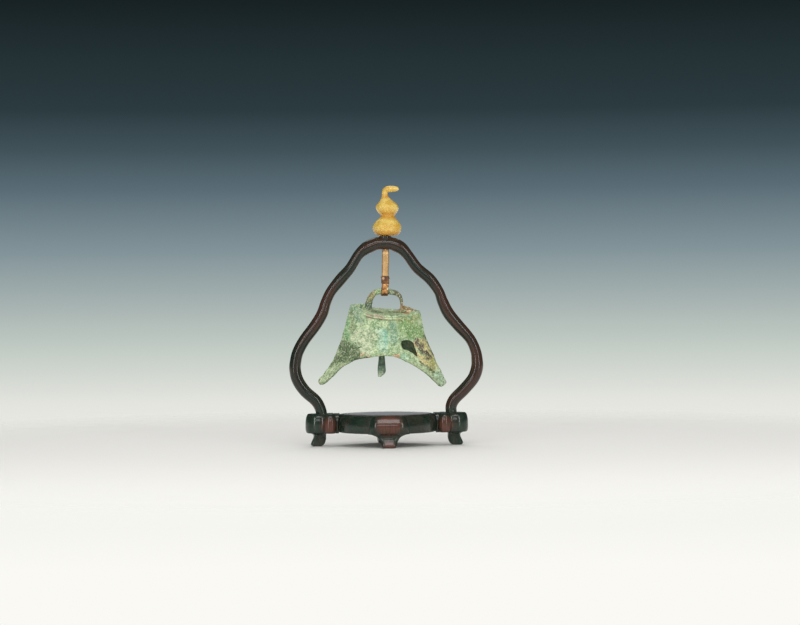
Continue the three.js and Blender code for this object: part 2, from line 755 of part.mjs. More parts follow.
// Drop of the bell's rim below the bar, at a place across it from -1 to 1
function rimDrop(across) {
  return SHOULDER_DROP + SHOULDER_SKEW * across + RIM_DIP * (1 - across * across);
}

// Point of the bell's wall, shrunk by the wall's thickness: each level is a pointed oval
function bellPoint(across, drop, side, wall, ridge) {
  const share = drop / BELL_DROP;
  const left = BELL_HALF_SPREAD * readTable(BELL_WIDTH_SHARES, 1, share);
  const right = BELL_HALF_SPREAD * readTable(BELL_WIDTH_SHARES, 2, share);
  const middle = 0.5 * (right - left);
  const half = 0.5 * (right + left);
  const depth = (BELL_DEPTH_RATIO * half - wall) * (1 - across * across);
  return new THREE.Vector3(middle + (half - ridge) * across, side * depth - HOOP_SET_BACK, -drop);
}

// Whole volume of the bell between its rim and its lip, shrunk by a wall and run past the lip
function bellVolume(wall, ridge, plateThickness, overrun) {
  const rings = [];
  for (let row = 0; row <= BELL_ROWS; row += 1) {
    const down = row / BELL_ROWS;
    const level = (across, side) => {
      const top = rimDrop(across) + plateThickness;
      const extra = side > 0 ? BACK_LIP_EXTRA * (1 - across * across) : 0;
      const lip = BELL_DROP * readTable(LIP_SHARES, 1, across) + extra + overrun;
      return bellPoint(across, top + down * (lip - top), side, wall, ridge);
    };
    const ring = [];
    for (let k = 0; k <= BELL_COLUMNS; k += 1) ring.push(level(acrossAt(k), -1));
    for (let k = BELL_COLUMNS - 1; k > 0; k -= 1) ring.push(level(acrossAt(k), 1));
    rings.push(ring);
  }
  return loft(rings);
}

// Columns lie closer together towards the ridges
function acrossAt(column) {
  return Math.sin(0.5 * Math.PI * ((2 * column) / BELL_COLUMNS - 1));
}

// Leaf-shaped loss: a prism through the front wall
function lossPrism() {
  const slope = THREE.MathUtils.degToRad(LOSS_SLOPE_DEG);
  const startX = LOSS_START_SHARES[0] * BELL_HALF_SPREAD;
  const startZ = -LOSS_START_SHARES[1] * BELL_DROP;
  const at = (along, off) => new THREE.Vector2(
    startX + along * LOSS_LENGTH * Math.cos(slope) - off * LOSS_HALF_WIDTH * Math.sin(slope),
    startZ + along * LOSS_LENGTH * Math.sin(slope) + off * LOSS_HALF_WIDTH * Math.cos(slope),
  );
  const upper = LOSS_SHARES.map(([along, above]) => at(along, above));
  const lower = LOSS_SHARES.map(([along, , below]) => at(along, below)).reverse();
  const outline = new THREE.Shape([at(0, 0), ...upper, at(1, 0), ...lower]);
  const halfDepth = BELL_DEPTH_RATIO * BELL_HALF_SPREAD;
  return plate(outline, -HOOP_SET_BACK - halfDepth, -HOOP_SET_BACK);
}

function bellShell() {
  const hollow = bellVolume(BELL_WALL, BELL_RIDGE_WALL, TOP_PLATE, CUT_OVERRUN);
  return bellVolume(0, 0, 0, 0).subtract(hollow);
}

function bellBody() {
  return bellShell().subtract(lossPrism());
}

// Hoop: leans back from the middle of the top plate, its feet fitted to the sagging plate
function bellHoop() {
  const points = HOOP_SHARES.map(([side, down]) => new THREE.Vector3(
    side * HOOP_HALF_SPAN,
    -down * HOOP_SET_BACK,
    -down * HOOP_HEIGHT,
  ));
  const radii = HOOP_SHARES.map((row) => row[2] * HOOP_BAR_RADIUS);
  const filled = bellVolume(0, 0, 0, 0).translate([0, 0, FIT_GAP]);
  return bar(points, radii, HOOP_SIDES, HOOP_STEPS).subtract(filled);
}

// Height of the top plate's underside where the staple hangs
function staplePlateDrop() {
  const half = 0.5 * BELL_HALF_SPREAD;
  return rimDrop(STAPLE_SHIFT / half) + TOP_PLATE;
}

// Staple: both legs against the underside of the plate, its bar below them
function clapperStaple() {
  const top = -staplePlateDrop() + TOP_PLATE;
  const bottom = -staplePlateDrop() - STAPLE_DROP;
  const corner = bottom + 0.35 * STAPLE_HALF_WIDTH;
  const outline = [
    [-1, top],
    [-1, 0.5 * (top + corner)],
    [-1, corner],
    [-0.7, bottom + 0.06 * STAPLE_HALF_WIDTH],
    [0, bottom],
    [0.7, bottom + 0.06 * STAPLE_HALF_WIDTH],
    [1, corner],
    [1, 0.5 * (top + corner)],
    [1, top],
  ];
  const points = outline.map(([side, z]) => new THREE.Vector3(
    STAPLE_SHIFT + side * STAPLE_HALF_WIDTH,
    -HOOP_SET_BACK,
    z,
  ));
  const radii = outline.map(() => STAPLE_WIRE_RADIUS);
  const lowered = bellShell().translate([0, 0, -FIT_GAP]);
  const above = new THREE.BoxGeometry(
    4 * STAPLE_HALF_WIDTH,
    4 * STAPLE_HALF_WIDTH,
    2 * TOP_PLATE,
  ).translate(STAPLE_SHIFT, -HOOP_SET_BACK, -staplePlateDrop() + 1.5 * TOP_PLATE);
  return bar(points, radii, 8, 18).subtract(lowered).subtract(solidOf(above));
}

// Link: an upright oval ring in Y and Z round the staple's bar, which is at the origin
function clapperLink() {
  const topZ = STAPLE_WIRE_RADIUS + FIT_GAP + LINK_WIRE_RADIUS;
  const middle = 0.5 * (topZ - LINK_DROP);
  const straight = 0.5 * (topZ + LINK_DROP) - LINK_HALF_WIDTH;
  const ring = new THREE.TorusGeometry(LINK_HALF_WIDTH, LINK_WIRE_RADIUS, 8, 28);
  const position = ring.attributes.position;
  for (let k = 0; k < position.count; k += 1) {
    const y = position.getY(k);
    const stretch = Math.abs(y) < 1e-4 ? 0 : Math.sign(y) * straight;
    position.setY(k, y + stretch);
  }
  ring.rotateX(Math.PI / 2).rotateZ(Math.PI / 2).translate(0, 0, middle);
  return solidOf(ring);
}

// Clapper: a flat tongue with a round eye at the origin and a slanted, worn end
function clapperTongue() {
  const outline = new THREE.Shape();
  const lean = THREE.MathUtils.degToRad(CLAPPER_NECK_DEG);
  const head = (angle) => [CLAPPER_HEAD_RADIUS * Math.cos(angle), CLAPPER_HEAD_RADIUS * Math.sin(angle)];
  outline.moveTo(...head(-lean));
  outline.absarc(0, 0, CLAPPER_HEAD_RADIUS, -lean, Math.PI + lean, false);
  for (const [down, left] of CLAPPER_SHARES) {
    outline.lineTo(left * CLAPPER_HALF_WIDTH, -down * CLAPPER_LENGTH);
  }
  for (const [down, , right] of [...CLAPPER_SHARES].reverse()) {
    outline.lineTo(right * CLAPPER_HALF_WIDTH, -down * CLAPPER_LENGTH);
  }
  outline.closePath();
  const eye = new THREE.Path();
  eye.absarc(0, 0, CLAPPER_EYE_RADIUS, 0, 2 * Math.PI, true);
  outline.holes.push(eye);
  return plate(outline, -0.5 * CLAPPER_THICKNESS, 0.5 * CLAPPER_THICKNESS);
}

// Assembly
const stand = new THREE.Group();
stand.add(
  piece("base_drum", baseDrum(), DARK_WOOD),
  piece("base_panel", basePanel(), PANEL_WOOD),
  piece("arch", arch(), DARK_WOOD),
  piece("finial_collar", collar(), DARK_WOOD),
);
const ends = { end_block_right: [endBlock(), 0], end_block_left: [endBlock(), TO_LEFT_DEG] };
const legs = {
  leg_right: [sideLeg(), 0],
  leg_left: [sideLeg(), TO_LEFT_DEG],
  leg_front: [drumLeg(), TO_FRONT_DEG],
  leg_back: [drumLeg(), TO_BACK_DEG],
};
for (const [name, [solid, turn]] of Object.entries({ ...ends, ...legs })) {
  const mesh = piece(name, solid, DARK_WOOD);
  mesh.rotation.z = THREE.MathUtils.degToRad(turn);
  stand.add(mesh);
}

const hanger = new THREE.Group();
hanger.add(
  piece("finial_gourd", gourd(), GOURD_STONE),
  piece("hanger_pin", hangerPin(), COPPER),
  piece("hanger_strap", hangerStrap(), COPPER),
  piece("strap_binding", strapBinding(), CANE),
);

const bell = new THREE.Group();
bell.position.set(BELL_SHIFT, 0, BAR_Z);
bell.rotation.x = BELL_LEAN;
bell.add(
  piece("bell_body", bellBody(), PATINA),
  piece("bell_hoop", bellHoop(), PATINA),
  piece("clapper_staple", clapperStaple(), OLD_BRONZE),
);

// The link and the clapper hang plumb from the leaning bell
const link = new THREE.Group();
link.position.set(STAPLE_SHIFT, -HOOP_SET_BACK, -staplePlateDrop() - STAPLE_DROP);
link.rotation.x = -BELL_LEAN;
link.add(piece("clapper_link", clapperLink(), OLD_BRONZE));
const tongue = piece("clapper_tongue", clapperTongue(), OLD_BRONZE);
tongue.position.z = -LINK_DROP;
link.add(tongue);
bell.add(link);

const bronzeBell = new THREE.Group();
bronzeBell.add(stand, hanger, bell);

export default bronzeBell;
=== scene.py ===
# %% [markdown]
# # A small bronze bell on a carved hardwood stand
# An old green bell hangs by a folded strap from the crown of a winding arch, and a yellow gourd
# sits on top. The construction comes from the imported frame, in metres, with +Z up and the front
# of the bell facing -Y. This file dresses it: each piece is worked out again as a fine surface
# in the place that the frame gives, and gets the finish of old wood, stone or bronze.

# %% The frame
import json

import bpy
import numpy as np
from mathutils import Matrix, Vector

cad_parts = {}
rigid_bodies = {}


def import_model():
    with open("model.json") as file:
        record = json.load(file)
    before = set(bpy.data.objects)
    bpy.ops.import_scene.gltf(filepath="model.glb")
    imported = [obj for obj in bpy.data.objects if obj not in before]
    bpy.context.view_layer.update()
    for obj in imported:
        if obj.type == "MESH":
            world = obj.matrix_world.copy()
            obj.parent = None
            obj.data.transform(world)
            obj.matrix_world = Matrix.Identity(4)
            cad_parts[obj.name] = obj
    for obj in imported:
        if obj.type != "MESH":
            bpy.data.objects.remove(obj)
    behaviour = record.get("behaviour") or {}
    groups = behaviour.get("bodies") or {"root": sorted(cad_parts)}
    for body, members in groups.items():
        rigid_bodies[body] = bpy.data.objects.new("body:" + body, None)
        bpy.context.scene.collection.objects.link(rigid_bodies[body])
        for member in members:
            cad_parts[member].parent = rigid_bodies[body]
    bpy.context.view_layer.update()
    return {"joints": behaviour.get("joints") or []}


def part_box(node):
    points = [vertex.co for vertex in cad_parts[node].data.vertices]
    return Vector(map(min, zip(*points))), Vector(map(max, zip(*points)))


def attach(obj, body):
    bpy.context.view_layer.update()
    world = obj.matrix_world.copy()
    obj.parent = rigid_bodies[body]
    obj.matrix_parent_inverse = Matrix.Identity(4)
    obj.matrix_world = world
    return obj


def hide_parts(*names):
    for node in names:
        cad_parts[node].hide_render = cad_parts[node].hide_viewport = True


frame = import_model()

# %% [markdown]
# ## Reading places from the frame
# A piece that is measured from the frame stays right when the frame changes. The joints give
# the middle of the crown, the middle of the hoop's bar, the staple's bar and the clapper's eye,
# and the boxes of the nodes give the heights of the base.

# %% Places
MM = 0.001
joint_at = {joint["name"]: np.array(joint["pos_m"]) for joint in frame["joints"]}
CROWN = joint_at["finial_swivel"]
BAR = joint_at["bell_swing"]
STAPLE_BAR = joint_at["link_swing"]
EYE = joint_at["clapper_swing"]
drum_low, drum_high = np.array(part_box("base_drum"))
panel_low, panel_high = np.array(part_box("base_panel"))
block_low, block_high = np.array(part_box("end_block_right"))
DRUM_RADIUS = drum_high[0]
BLOCK_TOP = block_high[2]
FIT_GAP = 0.3 * MM
X_AXIS = np.array([1.0, 0.0, 0.0])
Y_AXIS = np.array([0.0, 1.0, 0.0])
Z_AXIS = np.array([0.0, 0.0, 1.0])
print("drum radius, crown and bar in mm:", (1000 * np.array([DRUM_RADIUS, CROWN[2], BAR[2]])).round(1))

# %% [markdown]
# ## Smooth lines from a few numbers
# A maker's template has a handful of stations, and the line between them is faired by eye. Here
# a short table of shares is the template and a Catmull-Rom curve is the fairing: it passes
# through every row, and its slope at a row is half the step between the rows on both sides.


# %% Fair curves
def fair(rows, count):
    """Reads a table at `count` even places along it, on a Catmull-Rom curve through its rows."""
    rows = np.asarray(rows, float)
    padded = np.vstack([2 * rows[0] - rows[1], rows, 2 * rows[-1] - rows[-2]])
    at = np.linspace(0, len(rows) - 1, count)
    low = np.minimum(at.astype(int), len(rows) - 2)
    t = (at - low)[:, None]
    before, start, end, after = (padded[low + k] for k in range(4))
    slope_in = 0.5 * (end - before)
    slope_out = 0.5 * (after - start)
    rise = end - start
    bend = 3 * rise - 2 * slope_in - slope_out
    return start + slope_in * t + bend * t**2 + (slope_in + slope_out - 2 * rise) * t**3


def fair_read(rows, column, at):
    """One column of a table whose first column rises, read at given values of that column."""
    dense = fair(rows, 40 * len(rows))
    return np.interp(at, dense[:, 0], dense[:, column])


def length_along(path):
    """Running length at every point of a path: its chords are added up."""
    return np.concatenate([[0], np.cumsum(np.linalg.norm(np.diff(path, axis=0), axis=1))])


def even(rows, count, axes=3):
    """The same line at equal steps: the running length of its chords is divided evenly."""
    length = length_along(rows[:, :axes])
    at = np.linspace(0, length[-1], count)
    return np.stack([np.interp(at, length, column) for column in rows.T], axis=1)


print("a bend through 0, 1 and 0, read at five places:", fair([[0], [1], [0]], 5).ravel())


# %% [markdown]
# ## Age as a field
# Carved and corroded surfaces are never quite even. A fixed block of random numbers is read
# smoothly at any point in space, and finer readings are added to coarser ones. The same seed
# gives the same crust on every run.

# %% Uneven surfaces
LATTICE_SIZE = 32
LATTICE = np.random.default_rng(41).random((LATTICE_SIZE,) * 3)


def rough(points, size, octaves=3, shift=0.0):
    """Smooth noise from about -1 to 1: the lattice is read at points / size, with eased steps
    between its eight nearest values, and each further octave is half as wide and half as strong."""
    total = np.zeros(points.shape[:-1])
    weight = 1.0
    whole = 0.0
    for octave in range(octaves):
        at = points / size * 2**octave + shift + 7.3 * octave
        cell = np.floor(at).astype(int)
        part = at - cell
        eased = part * part * (3 - 2 * part)
        for corner in np.ndindex(2, 2, 2):
            share = np.where(corner, eased, 1 - eased).prod(axis=-1)
            index = np.mod(cell + corner, LATTICE_SIZE)
            total += weight * share * (2 * LATTICE[tuple(np.moveaxis(index, -1, 0))] - 1)
        whole += weight
        weight *= 0.5
    return 1.6 * total / whole


def step(value, low, high):
    """Eased step: 0 where value is below low, 1 where it is above high."""
    t = np.clip((value - low) / (high - low), 0, 1)
    return t * t * (3 - 2 * t)


noise_line = rough(np.outer(np.arange(200), X_AXIS), 7)
print("noise along a line from and to:", noise_line.min().round(2), noise_line.max().round(2))


# %% [markdown]
# ## From rings to a closed piece
# Almost every piece here is a row of rings: a turned drum, a bent rod, a strap, a leg. A ring
# surface is a function of two parameters, along and around, so whole arrays give its points. A
# fan of triangles to the middle closes each end, and the signed volume under the faces tells
# whether they point outwards.


# %% Closed meshes
NO_FANS = np.zeros((0, 3), int)


def facing_out(points, triangles):
    """True if the volume under the triangles is positive. Each triangle adds its first corner
    dotted with the cross product of the other two, seen from the middle of all points."""
    centred = points - points.mean(axis=0)
    first, second, third = (centred[triangles[:, k]] for k in range(3))
    return np.einsum("ij,ij->", first, np.cross(second, third)) > 0


def mesh_of(name, points, quads, fans):
    """Mesh of quads and triangles, turned round if they don't point outwards."""
    triangles = np.vstack([quads[:, :3], quads[:, [0, 2, 3]], fans])
    faces = [*quads.tolist(), *fans.tolist()]
    if not facing_out(points, triangles):
        faces = [face[::-1] for face in faces]
    mesh = bpy.data.meshes.new(name)
    mesh.from_pydata(points.tolist(), [], faces)
    return mesh


def linked(name, data):
    """A new object in the scene for a mesh, a lamp or a camera."""
    made = bpy.data.objects.new(name, data)
    bpy.context.scene.collection.objects.link(made)
    return made


def piece(name, points, quads, fans, body, slot, *replaced):
    """Makes the mesh, hangs it on its body and lets it stand for the CAD nodes that it replaces."""
    mesh = mesh_of(name, points, quads, fans)
    mesh.polygons.foreach_set("use_smooth", [True] * len(mesh.polygons))
    made = linked(name, mesh)
    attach(made, body)
    if replaced:
        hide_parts(*replaced)
    size = 1000 * np.ptp(points, axis=0)
    print(f"{name}: {len(mesh.polygons)} faces, {size.round(1)} mm")
    return made


# %% [markdown]
# A ring joins the next one by a belt of quads. The numbers of the corners come from the same
# grid, shifted by one place round the ring and by one ring.


# %% Skins over rings
def ring_quads(index, loop=False):
    """Quads between the neighbouring rings of a grid of point numbers. Each ring is closed round
    itself, and the last ring joins the first if loop."""
    beside = np.roll(index, -1, axis=1)
    quads = np.stack([index, beside, np.roll(beside, -1, axis=0), np.roll(index, -1, axis=0)], axis=-1)
    return (quads if loop else quads[:-1]).reshape(-1, 4)


def closed(rings, loop=False):
    """Points, quads and fans of the closed skin over rings of equal count. A fan goes over each
    end, unless the row of rings is a loop."""
    rows, columns = rings.shape[:2]
    points = rings.reshape(-1, 3)
    quads = ring_quads(np.arange(rows * columns).reshape(rows, columns), loop)
    if loop:
        return points, quads, NO_FANS
    around = np.arange(columns)
    beside = np.roll(around, -1)
    last = (rows - 1) * columns
    first_fan = np.stack([beside, around, np.full(columns, len(points))], axis=1)
    last_fan = np.stack([last + around, last + beside, np.full(columns, len(points) + 1)], axis=1)
    points = np.vstack([points, rings[0].mean(axis=0), rings[-1].mean(axis=0)])
    return points, quads, np.vstack([first_fan, last_fan])


def skin(name, rings, body, slot, *replaced, loop=False):
    """A piece that is one closed skin over its rings."""
    return piece(name, *closed(rings, loop), body, slot, *replaced)


print("quads of a belt of four corners:", ring_quads(np.arange(8).reshape(2, 4)).tolist())


# %% [markdown]
# A section is a rounded outline: an oval whose power runs from 2, a true ellipse, to about 6, a
# box with soft corners. It is turned round an upright axis, or carried along a flat path while
# it stays square to it.


# %% Sections, turning and carrying
def full_turn(count):
    """Angles at equal steps once round, without the last one, which would repeat the first."""
    return np.linspace(0, 2 * np.pi, count, endpoint=False)


def section(sides, half_width, half_height, power=2):
    """Rounded outline: cosine and sine of the angle, each raised to 2 / power, keeping its sign."""
    angle = full_turn(sides)
    wave = np.stack([np.cos(angle), np.sin(angle)], axis=1)
    return np.sign(wave) * np.abs(wave) ** (2 / power) * [half_width, half_height]


def turn(profile, sides):
    """Rings of an upright turned piece: every [radius, height] row goes once round the axis."""
    angle = full_turn(sides)
    radius, height = profile[:, :1], profile[:, 1:]
    x = radius * np.cos(angle)
    return np.stack([x, radius * np.sin(angle), np.broadcast_to(height, x.shape)], axis=-1)


def carry(outline, path, across, scale=None, loop=False):
    """Rings of an outline along a flat path: its first number is laid along `across`, its second
    along the path's own sideways direction, which is `across` crossed with the way ahead."""
    if loop:
        ahead = np.roll(path, -1, axis=0) - np.roll(path, 1, axis=0)
    else:
        ahead = np.gradient(path, axis=0)
    ahead /= np.linalg.norm(ahead, axis=1, keepdims=True)
    sideways = np.cross(across, ahead)
    scale = np.ones(len(path)) if scale is None else scale
    spread = outline[None, :, :1] * across + outline[None, :, 1:] * sideways[:, None]
    return path[:, None] + scale[:, None, None] * spread


print("running length of a round and of a boxy outline:", end=" ")
print(*(length_along(section(400, 1, 1, power))[-1].round(2) for power in (2, 6)))


# %% [markdown]
# Three small helpers take away the look of a drawing: one swells a rod here and there, one pits
# a surface, and one breaks the corners of a lathe profile.

# %% Swelling, pitting and rounding
CORNER_STEPS = 5


def swollen(rings, middles, share):
    """Each point is moved away from the middle of its ring by a share of its distance."""
    return middles + (rings - middles) * (1 + share)[..., None]


def pitted(rings, depth, size, octaves=2):
    """Rings of a small cast or bent piece with every point shifted a little by noise."""
    return rings + depth * rough(rings, size, octaves)[..., None]


def rounded(profile, radius):
    """Profile of [radius, height] rows with each inner corner cut back by a quadratic curve."""
    rows = [profile[0]]
    for before, corner, after in zip(profile[:-2], profile[1:-1], profile[2:]):
        before, corner, after = (np.array(row, float) for row in (before, corner, after))
        back = np.linalg.norm(before - corner)
        ahead = np.linalg.norm(after - corner)
        start = corner + (before - corner) * min(radius, 0.45 * back) / back
        end = corner + (after - corner) * min(radius, 0.45 * ahead) / ahead
        for t in np.linspace(0, 1, CORNER_STEPS):
            rows.append((1 - t) ** 2 * start + 2 * t * (1 - t) * corner + t**2 * end)
    rows.append(profile[-1])
    return np.array(rows, float)


print("rows of a square corner once it is rounded:", len(rounded([[0, 0], [1, 0], [1, 1]], 0.2)))


# %% [markdown]
# ## Which way the grain runs
# Wood shows streaks along the grain and almost none across it. Each wooden piece carries an
# attribute that holds its points as if it were straightened out, with the third number running
# along the grain, so that the streaks follow a bent rod round its bends.

# %% Grain
GRAIN = "grain"


def straightened(outline, run):
    """A carried piece as if pulled straight: its outline, with the running length as third number."""
    flat = np.broadcast_to(outline, (len(run), *outline.shape))
    ahead = np.broadcast_to(run[:, None, None], (*flat.shape[:2], 1))
    return np.concatenate([flat, ahead], axis=-1)


def mark_grain(made, grain_points):
    """Stores the straightened points as an attribute; the fans' middles repeat their last ones."""
    rows = grain_points.reshape(-1, 3)
    missing = len(made.data.vertices) - len(rows)
    rows = np.vstack([rows, np.repeat(rows[-1:], missing, axis=0)])
    attribute = made.data.attributes.new(GRAIN, "FLOAT_VECTOR", "POINT")
    attribute.data.foreach_set("vector", rows.astype(np.float32).ravel())


def grain_along(rings, axis):
    """Straightened points of a piece whose grain simply runs along one of the three axes."""
    return np.roll(rings, 2 - axis, axis=-1)


print("a grain along X turns x, y, z 1, 2, 3 into:", *grain_along(np.array([1, 2, 3]), 0))


# %% [markdown]
# ## The base
# The drum is turned: a flat underside, a side that swells a little, and a sunk seat in the top
# for the thin panel. A lathe profile turned round the axis gives all of it, with the edges
# broken by a small curve, because a hand finished edge always catches a line of light.

# %% Drum and panel
TURN_SIDES = 240
SIDE_SWELL = 1.25 * MM
WIDEST_SHARE = -0.2
DRUM_EDGE = 1.4 * MM
RIM_TOP = panel_high[2] - 0.15 * MM
drum_middle = 0.5 * (drum_low[2] + RIM_TOP)
drum_half = 0.5 * (RIM_TOP - drum_low[2])


def drum_reach(level):
    """Radius of the drum's side at a level: a parabola that is widest a little below the middle."""
    return DRUM_RADIUS - SIDE_SWELL * ((level - drum_middle) / drum_half - WIDEST_SHARE) ** 2


side_levels = drum_middle + drum_half * np.linspace(-1, 1, 9)
drum_side = np.stack([drum_reach(side_levels), side_levels], axis=1)
panel_bore = panel_high[0] + FIT_GAP
flat_radius = 0.5 * DRUM_RADIUS
drum_profile = rounded(
    [
        [flat_radius, drum_low[2]],
        *drum_side.tolist(),
        [panel_bore, RIM_TOP],
        [panel_bore, panel_low[2]],
        [flat_radius, panel_low[2]],
    ],
    DRUM_EDGE,
)
drum_rings = turn(drum_profile, TURN_SIDES)
drum = skin("base_drum_turned", drum_rings, "stand", "dark_wood", "base_drum")
mark_grain(drum, grain_along(drum_rings, 0))

PANEL_EDGE = 0.15 * MM
panel_profile = rounded(
    [
        [flat_radius, panel_low[2]],
        [panel_high[0], panel_low[2]],
        [panel_high[0], panel_high[2]],
        [flat_radius, panel_high[2]],
    ],
    PANEL_EDGE,
)
panel_rings = turn(panel_profile, TURN_SIDES)
panel = skin("base_panel_fitted", panel_rings, "stand", "panel_wood", "base_panel")
mark_grain(panel, grain_along(panel_rings, 0))

# %% [markdown]
# Each end block is carved as three lobes that run together. Seen from above, its outline is the
# farthest that a ray from the arch's foot reaches through any of the round lobes, cut short
# where it would enter the drum. The outline draws in towards the top and the underside by a
# quarter round, and the mortise for the arch goes down from the top.

# %% End blocks
FOOT_X = DRUM_RADIUS + 10.9 * MM
FOOT_DEPTH = 7 * MM
ROD_RADIUS = 4.3 * MM
FOOT_RADIUS_SHARE = 0.88
# Middle and radius of each lobe
LOBES = np.array([[49.3, 0, 9.3], [40.9, -8.4, 4.4], [40.9, 8.4, 4.4], [36, 0, 8.6]]) * MM
TOP_WEAR = 0.9 * MM
# Height and inset of the quarter round at the top and at the underside
ROUND_TOP = [7.5 * MM, 2.4 * MM]
ROUND_BOTTOM = [4 * MM, 1.4 * MM]
BLOCK_SIDES = 300
BLOCK_LEVELS = 34
# Rings across the top, as shares of the way from the mortise to the outline
TOP_SHARES = (0.75, 0.5, 0.25)


def lobed_reach(angle, inset, drum_side_at):
    """Farthest point along each ray: the length along it to a lobe's middle plus half the chord
    there, the largest of all lobes, and never past the drum's side."""
    ray = np.stack([np.cos(angle), np.sin(angle)], axis=-1)
    reach = np.zeros(len(angle))
    for x, y, radius in LOBES:
        to_middle = np.array([x - FOOT_X, y])
        along = ray @ to_middle
        chord = (radius - inset) ** 2 - (to_middle @ to_middle - along**2)
        lobe_end = along + np.sqrt(np.maximum(chord, 0))
        reach = np.maximum(reach, np.where(chord > 0, lobe_end, 0))
    spread = (FOOT_X * ray[:, 0]) ** 2 - FOOT_X**2 + drum_side_at**2
    to_drum = -FOOT_X * ray[:, 0] - np.sqrt(np.maximum(spread, 0))
    return np.where((spread > 0) & (ray[:, 0] < 0), np.minimum(reach, to_drum), reach)


def quarter_round(distance, height, inset):
    """Inset near a face: a quarter of an ellipse of that height, as deep as the inset."""
    run = np.clip(1 - distance / height, 0, 1)
    return inset * (1 - np.sqrt(1 - run**2))


def block_rings(side):
    """Rings from the underside up, over the top to the mortise and down its bore. The levels lie
    closer together towards both faces, where the outline draws in."""
    angle = full_turn(BLOCK_SIDES)
    height = block_high[2] - TOP_WEAR - block_low[2]
    up = height * (0.5 - 0.5 * np.cos(np.linspace(0, np.pi, BLOCK_LEVELS)))
    inset = np.maximum(quarter_round(height - up, *ROUND_TOP), quarter_round(up, *ROUND_BOTTOM))
    drum_at = drum_reach(np.clip(block_low[2] + up, drum_low[2], drum_high[2])) + FIT_GAP
    reach = np.array([lobed_reach(angle, *row) for row in zip(inset, drum_at)])
    bore = np.full(BLOCK_SIDES, FOOT_RADIUS_SHARE * ROD_RADIUS + FIT_GAP)
    across_top = [bore + (reach[-1] - bore) * share for share in TOP_SHARES]
    reach = np.vstack([0.5 * reach[0], reach, across_top, bore, bore])
    level = np.concatenate([[0], up, [height] * 4, [height - FOOT_DEPTH]]) + block_low[2]
    x = side * (FOOT_X + reach * np.cos(angle))
    return np.stack([x, reach * np.sin(angle), np.broadcast_to(level[:, None], x.shape)], axis=-1)


for side, word in ((1, "right"), (-1, "left")):
    rings = block_rings(side)
    block = skin(f"end_block_{word}_carved", rings, "stand", "dark_wood", f"end_block_{word}")
    mark_grain(block, grain_along(rings, 2))

# %% [markdown]
# A cabriole leg is a squarish section that changes from level to level. It leaves the base as a
# wide bracket, draws in to a waist and ends in a foot that turns outwards. The section is bent
# round the base's own axis, so that the leg follows the round rim. The front and back legs also
# have a shoulder that lies proud on the side of the drum.

# %% Legs
LEG_DEPTH = 9 * MM
DRUM_LEG_MIDDLE = DRUM_RADIUS - 6 * MM
DRUM_LEG_WIDTH = 25 * MM
BLOCK_LEG_MIDDLE = FOOT_X + 1.4 * MM
BLOCK_LEG_WIDTH = 16 * MM
# Share of the height, outer and inner face as shares of the depth, share of the half width
LEG_SHARES = [
    [0.0, 0.5, -0.1, 0.29],
    [0.03, 0.6, -0.18, 0.34],
    [0.09, 0.69, -0.26, 0.38],
    [0.19, 0.72, -0.36, 0.4],
    [0.4, 0.64, -0.46, 0.43],
    [0.62, 0.54, -0.5, 0.52],
    [0.82, 0.51, -0.5, 0.66],
    [0.94, 0.57, -0.5, 0.86],
    [1.0, 0.68, -0.5, 1.0],
]
LEG_SIDES = 64
LEG_POWER = 4
LEG_ROWS = 44


def wrapped(radial, turn_by, height):
    """Points at distances and angles from the base's axis, all at one height."""
    return np.column_stack([radial * np.cos(turn_by), radial * np.sin(turn_by), 0 * radial + height])


def leg_ring(outer, inner, half_width, height, bend):
    """One level: a squarish outline between two distances from the base's axis, whose width is
    wrapped round that axis by turning each point through its offset over the bending radius."""
    outline = section(LEG_SIDES, 0.5 * (outer - inner), half_width, LEG_POWER)
    radial = 0.5 * (outer + inner) + outline[:, 0]
    return wrapped(radial, outline[:, 1] / bend, height)


def leg_rings(middle, width, height):
    """The leg's table, read at even places and laid out round a middle distance from the axis."""
    rise, out, inward, spread = fair(LEG_SHARES, LEG_ROWS).T
    outer, inner = middle + out * LEG_DEPTH, middle + inward * LEG_DEPTH
    rows = zip(outer, inner, 0.5 * width * spread, rise * height)
    return [leg_ring(*row, middle) for row in rows]


print("height of the legs under the drum in mm:", round(1000 * (drum_low[2] - FIT_GAP), 1))

# %% [markdown]
# The shoulder is a flat boss on the drum's side, right above its leg, that fades out to both
# sides and at the rim.

# %% Shoulders
SHOULDER_PROUD = 2.35 * MM
SHOULDER_SUNK = 0.3 * MM
SHOULDER_FLATNESS = 0.6
SHOULDER_POWER = 6
SHOULDER_ROWS = 40
# Share of the drum's height, share of the proud thickness, share of the half width
SHOULDER_SHARES = [
    [-0.02, 0.3, 1.04],
    [0.03, 0.62, 1.03],
    [0.1, 0.84, 1.01],
    [0.25, 0.98, 0.98],
    [0.45, 1.0, 0.95],
    [0.6, 0.92, 0.93],
    [0.7, 0.83, 0.92],
    [0.84, 0.75, 0.9],
    [0.91, 0.66, 0.88],
    [0.96, 0.45, 0.85],
    [0.985, 0.0, 0.8],
]


def shoulder_ring(level, proud, half_width, bend):
    """One level of a shoulder: it stands proud of the drum's side by a share that falls off as one
    minus a high power of the distance from its middle, and its edges are sunk into the side.
    Part of the drum's roundness is taken out again, so that the face is flatter than the drum."""
    outline = section(LEG_SIDES, 1, half_width, LEG_POWER)
    fall = 1 - np.abs(outline[:, 1] / half_width) ** SHOULDER_POWER
    turn_by = outline[:, 1] / bend
    flat = SHOULDER_FLATNESS * drum_reach(level) * (1 / np.cos(turn_by) - 1)
    thickness = (proud + SHOULDER_SUNK + flat) * fall
    radial = drum_reach(level) - SHOULDER_SUNK + np.maximum(outline[:, 0], 0) * thickness
    return wrapped(radial, turn_by, level)


